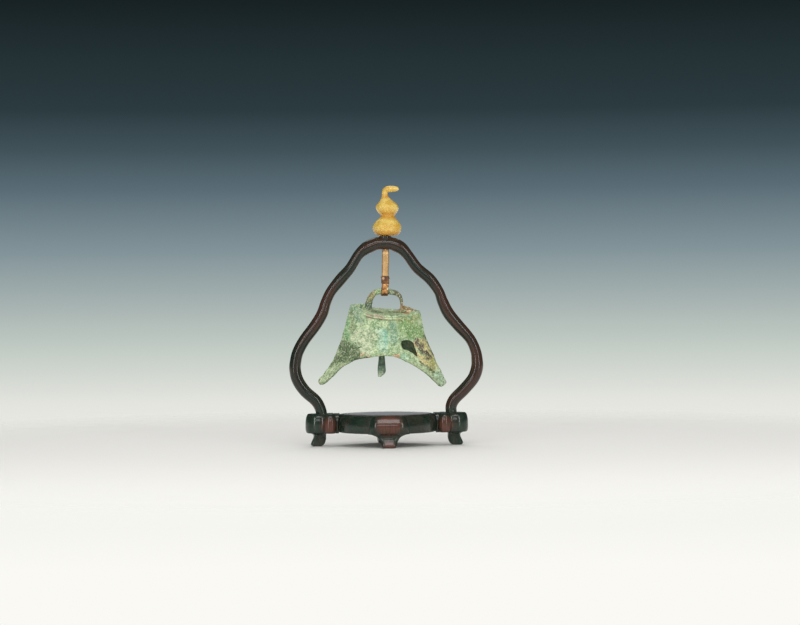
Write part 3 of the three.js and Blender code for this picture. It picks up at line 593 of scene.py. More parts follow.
def shoulder_rings(middle, width):
    """The shoulder's table, read from the drum's underside to its rim."""
    rise, proud, spread = fair(SHOULDER_SHARES, SHOULDER_ROWS).T
    level = drum_low[2] + rise * (RIM_TOP - drum_low[2])
    rows = zip(level, proud * SHOULDER_PROUD, 0.5 * width * spread)
    return [shoulder_ring(*row, middle) for row in rows]


print("height of the shoulders in mm:", round(1000 * (RIM_TOP - drum_low[2]), 1))

# %% [markdown]
# Two kinds of leg serve four places: the end blocks have the short one, and the front and the
# back have the one with the shoulder. Each is made once, at +X, and turned round the axis.

# %% Four legs
def turned_round(rings, degrees):
    """The rings turned round the base's axis by an angle."""
    cosine, sine = np.cos(np.radians(degrees)), np.sin(np.radians(degrees))
    return rings @ np.array([[cosine, sine, 0], [-sine, cosine, 0], [0, 0, 1]])


block_leg = np.array(leg_rings(BLOCK_LEG_MIDDLE, BLOCK_LEG_WIDTH, block_low[2] - FIT_GAP))
below_drum = leg_rings(DRUM_LEG_MIDDLE, DRUM_LEG_WIDTH, drum_low[2] - FIT_GAP)
drum_leg = np.array([*below_drum, *shoulder_rings(DRUM_LEG_MIDDLE, DRUM_LEG_WIDTH)])
legs = {
    "right": (block_leg, 0),
    "left": (block_leg, 180),
    "front": (drum_leg, -90),
    "back": (drum_leg, 90),
}
for word, (rings, degrees) in legs.items():
    leg_points = turned_round(rings, degrees)
    leg = skin(f"leg_{word}_carved", leg_points, "stand", "dark_wood", f"leg_{word}")
    mark_grain(leg, grain_along(leg_points, 2))

# %% [markdown]
# ## The arch
# The arch is one long rod with a winding centreline. It rises from each block, swells out to its
# widest point, winds in by two waves and meets over the crown. The rod is thicker at the crown
# and the bulges. The table gives stations on both sides, the fair curve joins them, and a round
# section is carried along. The two sides differ slightly, as they do on the real one.

# %% Arch stations
ARCH_HALF_SPAN = 65.5 * MM
ARCH_RISE = CROWN[2] - BLOCK_TOP
# Share of the rise, share of the swell from foot to widest point and rod's radius, left and right
ARCH_BELLY_SHARES = [
    [-0.01, 0.0, -0.02, 0.93, 0.93],
    [0.03, 0.07, -0.02, 0.93, 0.95],
    [0.072, 0.24, 0.12, 0.95, 0.98],
    [0.128, 0.64, 0.49, 0.98, 1.0],
    [0.191, 0.91, 0.84, 0.98, 1.01],
    [0.25, 1.005, 0.99, 0.98, 1.02],
]
# Share of the rise, share of the half span and rod's radius, left and right
ARCH_SHOULDER_SHARES = [
    [0.298, 0.997, 1.0, 0.96, 0.97],
    [0.357, 0.97, 0.983, 0.95, 0.9],
    [0.428, 0.898, 0.923, 0.97, 0.88],
    [0.511, 0.781, 0.789, 0.98, 0.98],
    [0.582, 0.701, 0.685, 0.94, 0.98],
    [0.653, 0.656, 0.622, 0.86, 0.91],
    [0.713, 0.602, 0.58, 0.86, 0.87],
    [0.784, 0.497, 0.486, 0.96, 0.94],
    [0.85, 0.39, 0.348, 0.88, 0.93],
    [0.926, 0.3, 0.245, 0.88, 0.92],
    [0.964, 0.224, 0.182, 1.06, 1.06],
    [0.984, 0.154, 0.12, 1.11, 1.12],
    [0.996, 0.085, 0.05, 1.06, 1.06],
]
ROD_SIDES = 48
ROD_STEPS = 560
ROD_UNEVEN = 0.02


def arch_side(column, sign):
    """Stations of one side, from the mortise up: x, y, z and the share of the rod's radius."""
    belly = np.array(ARCH_BELLY_SHARES)
    shoulder = np.array(ARCH_SHOULDER_SHARES)
    swelling = FOOT_X + belly[:, column] * (ARCH_HALF_SPAN - FOOT_X)
    x = np.concatenate([swelling, shoulder[:, column] * ARCH_HALF_SPAN])
    share = np.concatenate([belly[:, 0], shoulder[:, 0]])
    radius = np.concatenate([belly[:, 2 + column], shoulder[:, 2 + column]])
    foot = [[sign * FOOT_X, 0, BLOCK_TOP - FOOT_DEPTH, FOOT_RADIUS_SHARE]]
    above_foot = np.column_stack([sign * x, 0 * x, BLOCK_TOP + share * ARCH_RISE, radius])
    return np.vstack([foot, above_foot])


arch_stations = np.vstack([arch_side(1, -1), arch_side(2, 1)[::-1]])
print("stations of the arch:", len(arch_stations))

# %% [markdown]
# The curve through the stations is divided at equal steps and the round section carried along.
# A little noise in the radius takes away the look of a drawn tube.

# %% Arch
arch_line = even(fair(arch_stations, 1600), ROD_STEPS)
arch_path = arch_line[:, :3]
arch_wander = ROD_UNEVEN * rough(arch_path, 14 * MM, 2)
rod_outline = section(ROD_SIDES, ROD_RADIUS, ROD_RADIUS)
arch_rings = carry(rod_outline, arch_path, Y_AXIS, arch_line[:, 3] + arch_wander)
arch = skin("arch_carved", arch_rings, "stand", "dark_wood", "arch")
arch_length = length_along(arch_path)
mark_grain(arch, straightened(rod_outline, arch_length))
print("length of the arch in mm:", round(1000 * arch_length[-1], 1))

# %% [markdown]
# A thin turned collar lies between the crown and the gourd, which has worn it thinner and
# smaller than it was made.

# %% Collar under the gourd
GOURD_SETTLED = 0.65 * MM
COLLAR_WORN = 0.8
COLLAR_TAPER = 0.8
COLLAR_EYE = 0.4
COLLAR_EDGE = 0.5 * MM
COLLAR_SIDES = 96
collar_low, collar_high = np.array(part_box("finial_collar"))
collar_high[2] -= GOURD_SETTLED
collar_high[0] *= COLLAR_WORN
collar_profile = rounded(
    [
        [COLLAR_EYE * collar_high[0], collar_low[2]],
        [COLLAR_TAPER * collar_high[0], collar_low[2]],
        [collar_high[0], 0.5 * (collar_low[2] + collar_high[2])],
        [collar_high[0], collar_high[2]],
        [COLLAR_EYE * collar_high[0], collar_high[2]],
    ],
    COLLAR_EDGE,
)
collar_rings = turn(collar_profile, COLLAR_SIDES)
collar = skin("finial_collar_turned", collar_rings, "stand", "dark_wood", "finial_collar")
mark_grain(collar, grain_along(collar_rings, 2))

# %% [markdown]
# ## The gourd
# The finial is one piece of waxy yellow stone: a wide lower bulb, a waist, a smaller upper bulb
# and a stalk that bends over to the right. Turning alone can't give the stalk, so a circle is
# carried along a line that goes straight up through both bulbs and then follows the stalk, and
# its radius is the table's. Waves and dents in the radius keep the bulbs from being too true.

# %% Gourd stations
GOURD_RADIUS = 10.3 * MM
GOURD_HEIGHT = 27 * MM
GOURD_SHIFT = 1.4 * MM
GOURD_BOTTOM = collar_high[2] + FIT_GAP
# Share of the greatest radius to the side, share of the height, share of the greatest radius
GOURD_SHARES = [
    [0.02, 0.0, 0.5],
    [0.02, 0.012, 0.68],
    [0.02, 0.034, 0.8],
    [0.02, 0.068, 0.88],
    [0.01, 0.125, 0.965],
    [0.0, 0.205, 1.0],
    [0.0, 0.292, 0.965],
    [-0.005, 0.388, 0.77],
    [0.015, 0.448, 0.625],
    [0.045, 0.502, 0.505],
    [0.055, 0.536, 0.485],
    [0.05, 0.574, 0.553],
    [0.039, 0.633, 0.69],
    [0.03, 0.684, 0.77],
    [0.023, 0.74, 0.803],
    [0.01, 0.789, 0.78],
    [0.0, 0.84, 0.695],
    [-0.02, 0.886, 0.58],
    [-0.045, 0.932, 0.456],
    [-0.095, 0.98, 0.345],
    [-0.13, 1.025, 0.262],
    [-0.143, 1.078, 0.225],
    [-0.143, 1.124, 0.21],
    [-0.121, 1.18, 0.21],
    [-0.039, 1.221, 0.215],
    [0.107, 1.243, 0.218],
    [0.3, 1.246, 0.215],
    [0.52, 1.246, 0.195],
    [0.72, 1.25, 0.15],
    [0.82, 1.253, 0.1],
    [0.86, 1.255, 0.04],
]


def gourd_line():
    """Stations from the seat to the stalk's tip: x, y, z and radius."""
    aside, rise, radius = np.array(GOURD_SHARES).T
    x = GOURD_SHIFT + aside * GOURD_RADIUS
    return np.column_stack([x, 0 * x, GOURD_BOTTOM + rise * GOURD_HEIGHT, radius * GOURD_RADIUS])


gourd_rows = even(fair(gourd_line(), 900), 300)
print("greatest radius of the gourd in mm:", (1000 * gourd_rows[:, 3].max()).round(2))

# %% [markdown]
# The circles lie level in the bulbs and stand square to the line in the stalk, with a soft
# change between the two.

# %% Gourd
# Below the first share of the height the circles lie level, above the second they follow the stalk
STALK_FREE_SHARES = [0.95, 1.1]
GOURD_SIDES = 120
WAVE_COUNT = 5
WAVE_DEPTH = 0.012
DENT_DEPTH = 0.014

around = full_turn(GOURD_SIDES)
gourd_ahead = np.gradient(gourd_rows[:, :3], axis=0)
gourd_rise = (gourd_rows[:, 2] - GOURD_BOTTOM) / GOURD_HEIGHT
gourd_ahead[:, 0] *= step(gourd_rise, *STALK_FREE_SHARES)
gourd_ahead /= np.linalg.norm(gourd_ahead, axis=1, keepdims=True)
gourd_side = np.cross(Y_AXIS, gourd_ahead)[:, None]
gourd_circle = np.cos(around)[:, None] * Y_AXIS + np.sin(around)[:, None] * gourd_side
gourd_middle = gourd_rows[:, None, :3]
gourd_rings = gourd_middle + gourd_rows[:, 3, None, None] * gourd_circle
full_share = step(gourd_rows[:, 3:4], 4 * MM, 8 * MM)
waves = WAVE_DEPTH * np.cos(WAVE_COUNT * around + 0.6)[None, :] * full_share
dents = DENT_DEPTH * rough(gourd_rings, 5 * MM, 3)
gourd_rings = swollen(gourd_rings, gourd_middle, waves + dents)
gourd = skin("finial_gourd_carved", gourd_rings, "hanger", "gourd_stone", "finial_gourd")

# %% [markdown]
# ## The hanger
# A rivet goes up through the crown into the gourd and carries a copper strap. The strap runs
# down, turns under the bar of the hoop and comes up again behind itself, where a binding of
# split cane holds it shut. It is a flat bar with soft edges carried along a path in the plane
# of X = 0, and it leans a little to the left on its way down, as a hand bent strap does.

# %% Rivet
PIN_RADIUS = 1.2 * MM
PIN_HEAD_THICKNESS = 0.9 * MM
PIN_SIDES = 64
TAB_HALF_LENGTH = 3.5 * MM
pin_low, pin_high = np.array(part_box("hanger_pin"))
strap_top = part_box("hanger_strap")[1][2]
crown_underside = arch_rings[np.abs(arch_path[:, 0]) < TAB_HALF_LENGTH, :, 2].min()
crown_sag = max(0.0, strap_top + FIT_GAP - crown_underside)
pin_low[2] -= crown_sag
print("the crown hangs lower than drawn by mm:", round(1000 * crown_sag, 2))
pin_head_radius = pin_high[0]
pin_profile = rounded(
    [
        [0.2 * pin_head_radius, pin_low[2]],
        [pin_head_radius, pin_low[2] + 0.35 * PIN_HEAD_THICKNESS],
        [pin_head_radius, pin_low[2] + PIN_HEAD_THICKNESS],
        [PIN_RADIUS, pin_low[2] + PIN_HEAD_THICKNESS],
        [PIN_RADIUS, pin_high[2]],
        [0.3 * PIN_RADIUS, pin_high[2]],
    ],
    0.3 * MM,
)
pin_rings = turn(pin_profile, PIN_SIDES)
pin = skin("hanger_pin_riveted", pin_rings, "hanger", "copper", "hanger_pin")
mark_grain(pin, pin_rings)

# %% [markdown]
# The strap's route is a list of places in the plane of X = 0, each as its y and z. The loop
# under the bar is a part of a circle round the bar's middle.

# %% Strap
STRAP_THICKNESS = 0.9 * MM
STRAP_HALF_WIDTH = 2.5 * MM
# Sideways place at the crown, at the binding and under the bar
STRAP_LEAN = [0.0, -0.35 * MM, -1.0 * MM]
STRAP_LEAN_SHARES = [0, 0.85, 1]
TAB_BACK = 2.6 * MM
LEG_OFFSET = 0.6 * MM
LOOP_RADIUS = 2.85 * MM
LOOP_START_DEG = 168
LOOP_END_DEG = 372
STRAP_BEND = 0.08 * MM
STRAP_UNEVEN = 0.035
STRAP_STEPS = 300
binding_low, binding_high = np.array(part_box("strap_binding"))
tab_z = pin_low[2] + PIN_HEAD_THICKNESS + FIT_GAP + 0.5 * STRAP_THICKNESS
close_z, end_z = binding_low[2], binding_high[2]
hang = tab_z - end_z

loop_angle = np.radians(np.linspace(LOOP_START_DEG, LOOP_END_DEG, 25))
strap_route = np.vstack(
    [
        [[TAB_BACK, tab_z], [0.5 * TAB_BACK, tab_z], [0, tab_z], [-0.6 * TAB_BACK, tab_z]],
        [[-1.0 * TAB_BACK, tab_z - 0.3 * TAB_BACK], [-1.12 * TAB_BACK, tab_z - TAB_BACK]],
        [[-0.8 * TAB_BACK, tab_z - 0.35 * hang], [-0.45 * TAB_BACK, tab_z - 0.7 * hang]],
        [[-1.25 * LEG_OFFSET, end_z + LOOP_RADIUS]],
        [[-LEG_OFFSET, end_z - LEG_OFFSET], [-LEG_OFFSET, close_z]],
        np.stack([LOOP_RADIUS * np.cos(loop_angle), BAR[2] + LOOP_RADIUS * np.sin(loop_angle)], axis=1),
        [[LEG_OFFSET, close_z], [LEG_OFFSET, 0.5 * (close_z + end_z)], [LEG_OFFSET, end_z]],
    ]
)
strap_line = even(fair(strap_route, 4 * STRAP_STEPS), STRAP_STEPS, 2)
strap_drop = np.clip((tab_z - strap_line[:, 1]) / (tab_z - BAR[2]), 0, 1)
strap_x = np.interp(strap_drop, STRAP_LEAN_SHARES, STRAP_LEAN) + STRAP_BEND * np.sin(9 * strap_drop)
strap_path = np.column_stack([strap_x, strap_line])
strap_outline = section(40, STRAP_HALF_WIDTH, 0.5 * STRAP_THICKNESS, 5)
strap_scale = 1 + STRAP_UNEVEN * rough(strap_path, 5 * MM, 2)
strap_rings = pitted(carry(strap_outline, strap_path, X_AXIS, strap_scale), 0.06 * MM, 2.2 * MM)
strap = skin("hanger_strap_bent", strap_rings, "hanger", "copper", "hanger_strap")
strap_run = np.linspace(0, length_along(strap_path)[-1], len(strap_path))
mark_grain(strap, straightened(strap_outline, strap_run))

# %% [markdown]
# The binding is one strip of cane wound round the doubled strap. Its path is a helix on a
# rectangle with soft corners, and the strip's section is a flat oval, so that each turn shows
# its own crowned back and a dark groove beside it. A second strip crosses over the top turns
# and tucks the end in. A plain core fills the space behind the turns.

# %% Binding
BINDING_HALF_WIDTH = 2.56 * MM
BINDING_HALF_DEPTH = 1.5 * MM
BINDING_TURNS = 5
STRIP_HALF_THICKNESS = 0.36 * MM
WOUND_PLACES = 400
ROWS_PER_TURN = 90
CROSS_TURNS = 0.62
CROSS_START = 0.44
CROSS_PROUD = 0.35 * MM
binding_x = STRAP_LEAN[1]
strip_half_width = 0.5 * (end_z - close_z) / BINDING_TURNS


def wound(turns, z_start, z_end, proud, start_turn=0.0):
    """Helix on a soft rectangle: the outline is read round and round while z rises evenly."""
    outline = section(WOUND_PLACES, BINDING_HALF_WIDTH + proud, BINDING_HALF_DEPTH + proud, 4)
    outline = even(np.vstack([outline, outline[:1]]), WOUND_PLACES + 1, 2)[:WOUND_PLACES]
    turned = np.linspace(start_turn, start_turn + turns, int(ROWS_PER_TURN * turns) + 1)
    index = np.mod(np.round(turned * WOUND_PLACES).astype(int), WOUND_PLACES)
    x, y = outline[index].T
    return np.column_stack([binding_x + x, y, np.linspace(z_start, z_end, len(turned))])


strip_path = wound(BINDING_TURNS - 0.6, close_z + strip_half_width, end_z - strip_half_width, 0)
strip_outline = section(24, strip_half_width, STRIP_HALF_THICKNESS, 2)
strip_rings = pitted(carry(strip_outline, strip_path, Z_AXIS), 0.05 * MM, 1.4 * MM)
skin("strap_binding_wound", strip_rings, "hanger", "cane", "strap_binding")

cross_top, cross_bottom = end_z - 1.6 * strip_half_width, end_z - 3.6 * strip_half_width
cross_path = wound(CROSS_TURNS, cross_top, cross_bottom, CROSS_PROUD, CROSS_START)
cross_outline = section(20, 0.55 * strip_half_width, STRIP_HALF_THICKNESS, 2.4)
cross_rings = carry(cross_outline, cross_path, Z_AXIS)
skin("strap_binding_crossed", cross_rings, "hanger", "cane")

core_outline = section(60, BINDING_HALF_WIDTH - 0.1 * MM, BINDING_HALF_DEPTH - 0.1 * MM, 4)
core_z = np.linspace(close_z + 0.3 * MM, end_z - 0.3 * MM, 12)
core_rings = np.zeros((len(core_z), len(core_outline), 3))
core_rings[..., :2] = core_outline + [binding_x, 0]
core_rings[..., 2] = core_z[:, None]
skin("strap_binding_core", core_rings, "hanger", "cane")

# %% [markdown]
# ## The bell
# The bell is an old almond shape: two shallow curved walls that meet in a ridge at each side,
# a top plate that dips between them, and a mouth whose lip arches up in the middle and runs
# out into two long horns. The two tables give how its side edges spread and where its lip
# runs. Everything is worked out in the bell's own frame, hanging straight down from the bar,
# and is leaned to the front at the end.

# %% Bell sizes
BELL_LEAN = np.radians(12)
BELL_DROP = 68 * MM
BELL_HALF_SPAN = 46 * MM
BELL_DEPTH_RATIO = 0.5
BELL_SET_BACK = 7.2 * MM
SHOULDER_DROP = 10.5 * MM
SHOULDER_SKEW = 2.2 * MM
RIM_DIP = 3.0 * MM
BACK_LIP_EXTRA = 3.0 * MM
BACK_LIP_BULGE = 1.1 * MM
BELL_WALL = 1.7 * MM
RIDGE_WALL = 2.6 * MM
TOP_PLATE = 1.8 * MM
# Share of the drop, share of the half span of the left and of the right edge
BELL_WIDTH_SHARES = [
    [0.1, 0.535, 0.485],
    [0.197, 0.574, 0.542],
    [0.306, 0.615, 0.58],
    [0.414, 0.654, 0.606],
    [0.523, 0.701, 0.664],
    [0.631, 0.762, 0.733],
    [0.74, 0.837, 0.798],
    [0.848, 0.944, 0.886],
    [0.957, 1.066, 0.95],
    [1.1, 1.15, 1.0],
]
# Share across from left edge to right edge, share of the drop at which the lip runs
LIP_SHARES = [
    [-1.0, 0.942],
    [-0.955, 0.972],
    [-0.91, 0.955],
    [-0.875, 0.89],
    [-0.85, 0.825],
    [-0.805, 0.77],
    [-0.71, 0.722],
    [-0.57, 0.672],
    [-0.22, 0.629],
    [0.0, 0.621],
    [0.21, 0.636],
    [0.42, 0.688],
    [0.6, 0.756],
    [0.74, 0.834],
    [0.89, 0.975],
    [0.93, 1.007],
    [1.0, 0.985],
]
print("the bell reaches below its bar by mm:", round(1000 * BELL_DROP, 1))

# %% [markdown]
# A spot of the bell is named by its drop below the bar, its share across from the left ridge to
# the right one and its wall, front or back. The formulas turn that into a place, first in the
# bell's own frame and then in the common one.

# %% Bell formulas
ROUND_RIM = 0.7 * MM
LIP_WEAR = 0.28 * MM
BULGE_ACROSS = -0.36
BULGE_HALF_WIDTH = 0.28


def hump(value, middle, half_width):
    """A soft hump: 1 at the middle, falling with the square of the distance from it."""
    return np.exp(-(((value - middle) / half_width) ** 2))


def bell_width(drop):
    """Middle and half of the width at a drop, from the two edges' tables."""
    left = BELL_HALF_SPAN * fair_read(BELL_WIDTH_SHARES, 1, drop / BELL_DROP)
    right = BELL_HALF_SPAN * fair_read(BELL_WIDTH_SHARES, 2, drop / BELL_DROP)
    return 0.5 * (right - left), 0.5 * (right + left)


def rim_drop(across):
    """The top dips by a parabola between its shoulders and is a little lower at the right."""
    return SHOULDER_DROP + SHOULDER_SKEW * across + RIM_DIP * (1 - across**2)


def lip_drop(across, side):
    """Drop of the lip; the back wall reaches down farther in the middle, and wear nibbles both."""
    worn = np.stack([across * BELL_HALF_SPAN, side * BELL_HALF_SPAN, 0 * across], axis=-1)
    bulge = BACK_LIP_BULGE * hump(across, BULGE_ACROSS, BULGE_HALF_WIDTH)
    extra = (BACK_LIP_EXTRA * (1 - across**2) + bulge) * (side > 0)
    return BELL_DROP * fair_read(LIP_SHARES, 1, across) + extra + LIP_WEAR * rough(worn, 4 * MM, 3)


def bell_points(across, side, drop, inward, open_share=1.0):
    """Points in the bell's own frame: the width gives x, and y follows a parabola that is zero at
    both edges. Inward runs from 0 on the outside to 1 on the inside of the wall."""
    middle, half = bell_width(drop)
    x = middle + (half - RIDGE_WALL * inward) * across
    depth = (BELL_DEPTH_RATIO * half - BELL_WALL * inward) * (1 - across**2)
    return np.stack([x, side * open_share * depth - BELL_SET_BACK, -drop + 0 * x], axis=-1)


def to_world(points):
    """The bell's frame is turned by its lean round the bar, then carried to the bar's middle."""
    x, y, z = np.moveaxis(points, -1, 0)
    cosine, sine = np.cos(BELL_LEAN), np.sin(BELL_LEAN)
    return np.stack([x, y * cosine - z * sine, y * sine + z * cosine], axis=-1) + BAR


def from_world(point):
    """The bell's own frame of a point: carried back to the bar and leaned the other way."""
    x, y, z = point - BAR
    cosine, sine = np.cos(BELL_LEAN), np.sin(BELL_LEAN)
    return np.array([x, y * cosine + z * sine, z * cosine - y * sine])


print("half width of the bell at its shoulder in mm:", round(1000 * bell_width(SHOULDER_DROP)[1], 1))


# %% [markdown]
# The whole shell is one closed skin of rings. A ring goes once round: along the front wall from
# the left ridge to the right one, and back along the rear wall. From row to row the rings open
# out over the top plate, go over its edge, down the outside, round the lip, up the inside and
# close again under the plate. The first and the last ring are shut to a slit, so their two
# halves share points.

# %% Bell grid
COLUMNS = 190
PLATE_ROWS = 24
EDGE_ROWS = 4
WALL_ROWS = 108
LIP_ROWS = 8
INNER_ROWS = 40
CEILING_ROWS = 12
PLATE_NARROW = 0.1

across = -1 + 2 * np.arange(COLUMNS) / COLUMNS
across = np.concatenate([across, -across])[None]
side = np.repeat([-1.0, 1.0], COLUMNS)[None]
rim = rim_drop(across)
lip = lip_drop(across, side)


def column(values):
    """Numbers one below the other, so that each belongs to one row of the grid."""
    return np.asarray(values, float)[:, None]


opened = column(np.linspace(0, 1, PLATE_ROWS, endpoint=False)) ** 0.8
plate_across = across * (1 - PLATE_NARROW * (1 - opened))
plate_rings = bell_points(plate_across, side, rim_drop(plate_across), ROUND_RIM / BELL_WALL, opened)

edge_angle = column(np.linspace(0, 0.5 * np.pi, EDGE_ROWS, endpoint=False))
edge_inward = ROUND_RIM / BELL_WALL * (1 - np.sin(edge_angle))
edge_rings = bell_points(across, side, rim + ROUND_RIM * (1 - np.cos(edge_angle)), edge_inward)

eased = np.linspace(0, 1, WALL_ROWS)
eased = column(0.75 * eased + 0.25 * (0.5 - 0.5 * np.cos(np.pi * eased)))
wall_top = rim + ROUND_RIM
wall_drop = wall_top + (lip - 0.5 * BELL_WALL - wall_top) * eased
wall_rings = bell_points(across, side, wall_drop, 0)

lip_angle = column(np.linspace(0, np.pi, LIP_ROWS + 2)[1:-1])
round_lip = lip - 0.5 * BELL_WALL * (1 - np.sin(lip_angle))
lip_rings = bell_points(across, side, round_lip, 0.5 - 0.5 * np.cos(lip_angle))

ceiling = rim + TOP_PLATE
inner_drop = ceiling + (lip - 0.5 * BELL_WALL - ceiling) * column(np.linspace(1, 0, INNER_ROWS))
inner_rings = bell_points(across, side, inner_drop, 1)

closing = column(np.linspace(1, 0, CEILING_ROWS + 1)[1:])
ceiling_across = across * (1 - PLATE_NARROW * (1 - closing))
ceiling_rings = bell_points(ceiling_across, side, rim_drop(ceiling_across) + TOP_PLATE, 1, closing)

bell_rings = np.vstack([plate_rings, edge_rings, wall_rings, lip_rings, inner_rings, ceiling_rings])
print("bell grid:", bell_rings.shape[:2])

# %% [markdown]
# Two thousand years in the ground leave a crust. The points are moved along the surface's own
# normal, which is the cross product of the steps to the neighbours, by coarse and fine noise.
# A raised band with a groove runs below the front rim, a plain band follows the lip and is
# strongest on the horns, and beside the loss the metal has blistered.

# %% Bell surface sizes
CRUST = 0.15 * MM
GRIT = 0.07 * MM
PIT_DEPTH = 0.22 * MM
# Lumps of crust on the top by the hoop's feet: x, y, radius and height in mm
CRUST_MOUNDS = [
    (13.4, -2.6, 3.4, 2.8),
    (18.2, -4.2, 3.8, 1.7),
    (-15.2, -3.5, 4.0, 2.4),
    (-20, -5, 3.6, 0.9),
]
# Places where the front has blistered and scabbed: x, y and drop, radius and share, in mm
BLISTERS = [((25, -13, 39), 6, 1.0), ((31, -11, 46), 5, 0.8)]
SCABS = [((-28, -12, 41), 8, 1.0), ((-34, -10, 49), 8, 1.0)]
SCAB_DEPTH = 0.22 * MM
BAND_PROUD = 0.5 * MM
BAND_EDGE = [2.6 * MM, 3.0 * MM]
BEAD_PROUD = 0.3 * MM
BEAD_HALF_WIDTH = 0.5 * MM
GROOVE_DEPTH = 0.5 * MM
GROOVE_HALF_WIDTH = 0.6 * MM
UPPER_GROOVE_DEPTH = 0.2 * MM
LIP_BAND_PROUD = 0.34 * MM
LIP_BAND_EDGE = [3 * MM, 3.9 * MM]
LIP_GROOVE_DEPTH = 0.22 * MM
LIP_GROOVE_RISE = 4.5 * MM
UPPER_GROOVE_DROP = 1.5 * MM
BEAD_DROP = 2.3 * MM
GROOVE_DROP = 3.2 * MM


def near(points, place, radius):
    """A soft hump round one place of the bell's frame, given in mm as x, y and drop."""
    x, y, drop = np.array(place) * MM
    return hump(np.linalg.norm(points - [x, y, -drop], axis=-1), 0, radius)


def humps_at(points, places):
    """The humps of a list of places, each with its share, added up."""
    return sum(share * near(points, place, radius * MM) for place, radius, share in places)


def rows_of(*zones):
    """One number per row of the bell's grid, given by zone, from the top plate to the ceiling."""
    counts = (PLATE_ROWS, EDGE_ROWS, WALL_ROWS, LIP_ROWS, INNER_ROWS, CEILING_ROWS)
    return column(np.concatenate([np.broadcast_to(*zone) for zone in zip(zones, counts)]))


outside = rows_of(0, 1, 1, np.linspace(1, 0, LIP_ROWS), 0, 0)
print("rows of the outside:", int((outside > 0).sum()))

# %% [markdown]
# The relief is worked out for the whole grid at once: the crust lies everywhere, the bands, the
# blistered metal and the scab only on the outside.

# %% Bell surface
steps_down = np.gradient(bell_rings, axis=0)
steps_round = np.roll(bell_rings, -1, axis=1) - np.roll(bell_rings, 1, axis=1)
normals = np.cross(steps_down, steps_round)
normals /= np.linalg.norm(normals, axis=-1, keepdims=True) + 1e-12
bell_drop = -bell_rings[..., 2]
below_rim = bell_drop - rim
above_lip = lip - bell_drop
front = side < 0
banded = step(across, -0.64, -0.5) * (1 - step(across, 0.22, 0.55)) * front
bead = BEAD_PROUD * hump(below_rim, BEAD_DROP, BEAD_HALF_WIDTH)
rim_band = BAND_PROUD * (1 - step(below_rim, *BAND_EDGE)) + bead
upper_groove = UPPER_GROOVE_DEPTH * hump(below_rim, UPPER_GROOVE_DROP, BEAD_HALF_WIDTH)
rim_band -= GROOVE_DEPTH * hump(below_rim, GROOVE_DROP, GROOVE_HALF_WIDTH) + upper_groove
horns = 0.35 + 0.65 * step(np.abs(across), 0.5, 0.8)
lip_groove = LIP_GROOVE_DEPTH * hump(above_lip, LIP_GROOVE_RISE, 0.9 * MM)
lip_band = LIP_BAND_PROUD * (1 - step(above_lip, *LIP_BAND_EDGE)) - lip_groove

crust = CRUST * rough(bell_rings, 5.5 * MM, 2, 2.1) + GRIT * rough(bell_rings, 1.3 * MM, 2, 5.7)
crust -= PIT_DEPTH * step(rough(bell_rings, 1.7 * MM, 2, 3.3), 0.5, 0.85)
blistered = (0.35 + 0.6 * rough(bell_rings, 1.9 * MM, 3, 9.1)) * MM * humps_at(bell_rings, BLISTERS)
scabbed = SCAB_DEPTH * (0.4 + rough(bell_rings, 1.5 * MM, 3, 4.4)) * humps_at(bell_rings, SCABS)
proud = crust + (horns * lip_band + blistered + scabbed) * outside
bell_rings = bell_rings + proud[..., None] * normals
plate_edge = column([*opened[:, 0] ** 6, *np.zeros(len(outside) - PLATE_ROWS)])
bell_rings[..., 1] -= banded * rim_band * np.maximum(outside, plate_edge)
outer_rows = rows_of(1, 1, 1, np.zeros(LIP_ROWS), 0, 0) * (1 - step(below_rim, 0.4 * MM, 3 * MM))
for x, y, radius, height in CRUST_MOUNDS:
    away = np.hypot(bell_rings[..., 0] - x * MM, bell_rings[..., 1] - y * MM)
    lumpy = 1 + 0.3 * rough(bell_rings, 1.8 * MM, 2, 6.3)
    bell_rings[..., 2] += outer_rows * height * MM * lumpy * hump(away, 0, radius * MM)
print("relief from and to in mm:", (1000 * np.array([proud.min(), proud.max()])).round(2))

# %% [markdown]
# The halves of the first and last ring lie on each other, so their points are shared: each
# place of the grid gets the number of the point that it uses, and unused points fall away.

# %% Bell mesh
ring_size = 2 * COLUMNS
index = np.arange(len(bell_rings) * ring_size).reshape(len(bell_rings), ring_size)
mirrored = np.minimum(np.arange(ring_size), (ring_size - np.arange(ring_size)) % ring_size)
index[0] = index[0][mirrored]
index[-1] = index[-1][mirrored]
used, numbers = np.unique(index, return_inverse=True)
bell_world = to_world(bell_rings).reshape(-1, 3)[used]
bell = piece(
    "bell_body_cast",
    bell_world,
    ring_quads(numbers.reshape(index.shape)),
    NO_FANS,
    "bell",
    "bell_bronze",
    "bell_body",
)

# %% [markdown]
# The material needs to know how far a spot is from the rim and the lip and whether it is
# inside, so these go along as an attribute: the grooves of the rim's band, with its bead as a
# negative number, the share of the lip's band and the share of the inside. All three are zero on
# a plain spot.

# %% Bell marks
MARKS = "marks"
upper_mark = 0.7 * hump(below_rim, UPPER_GROOVE_DROP, 0.45 * MM)
groove_mark = hump(below_rim, GROOVE_DROP, GROOVE_HALF_WIDTH) + upper_mark
# Positive in the grooves, for painted shade, and negative on the bead, for a painted highlight
rim_shade_and_highlight_mark = banded * outside * (groove_mark - hump(below_rim, BEAD_DROP, BEAD_HALF_WIDTH))
lip_mark = (1 - step(above_lip, 1.5 * MM, 4.2 * MM)) * outside
# Share of the inside, which gets painted shade in the material
inside_shade_mark = np.broadcast_to(rows_of(0, 0, 0, np.linspace(0, 1, LIP_ROWS), 1, 1), index.shape)
marks = np.stack([rim_shade_and_highlight_mark, lip_mark, inside_shade_mark], axis=-1).reshape(-1, 3)[used]
print("share of vertices with a mark:", (marks != 0).any(axis=1).mean().round(2))

# %% [markdown]
# The front wall has lost a leaf-shaped piece at the right, and there is a short crack at the
# left. Both are cut with an exact boolean, as a hole has no place in a grid of rings. The leaf
# is given by its length, its slope and the widths above and below its middle line.

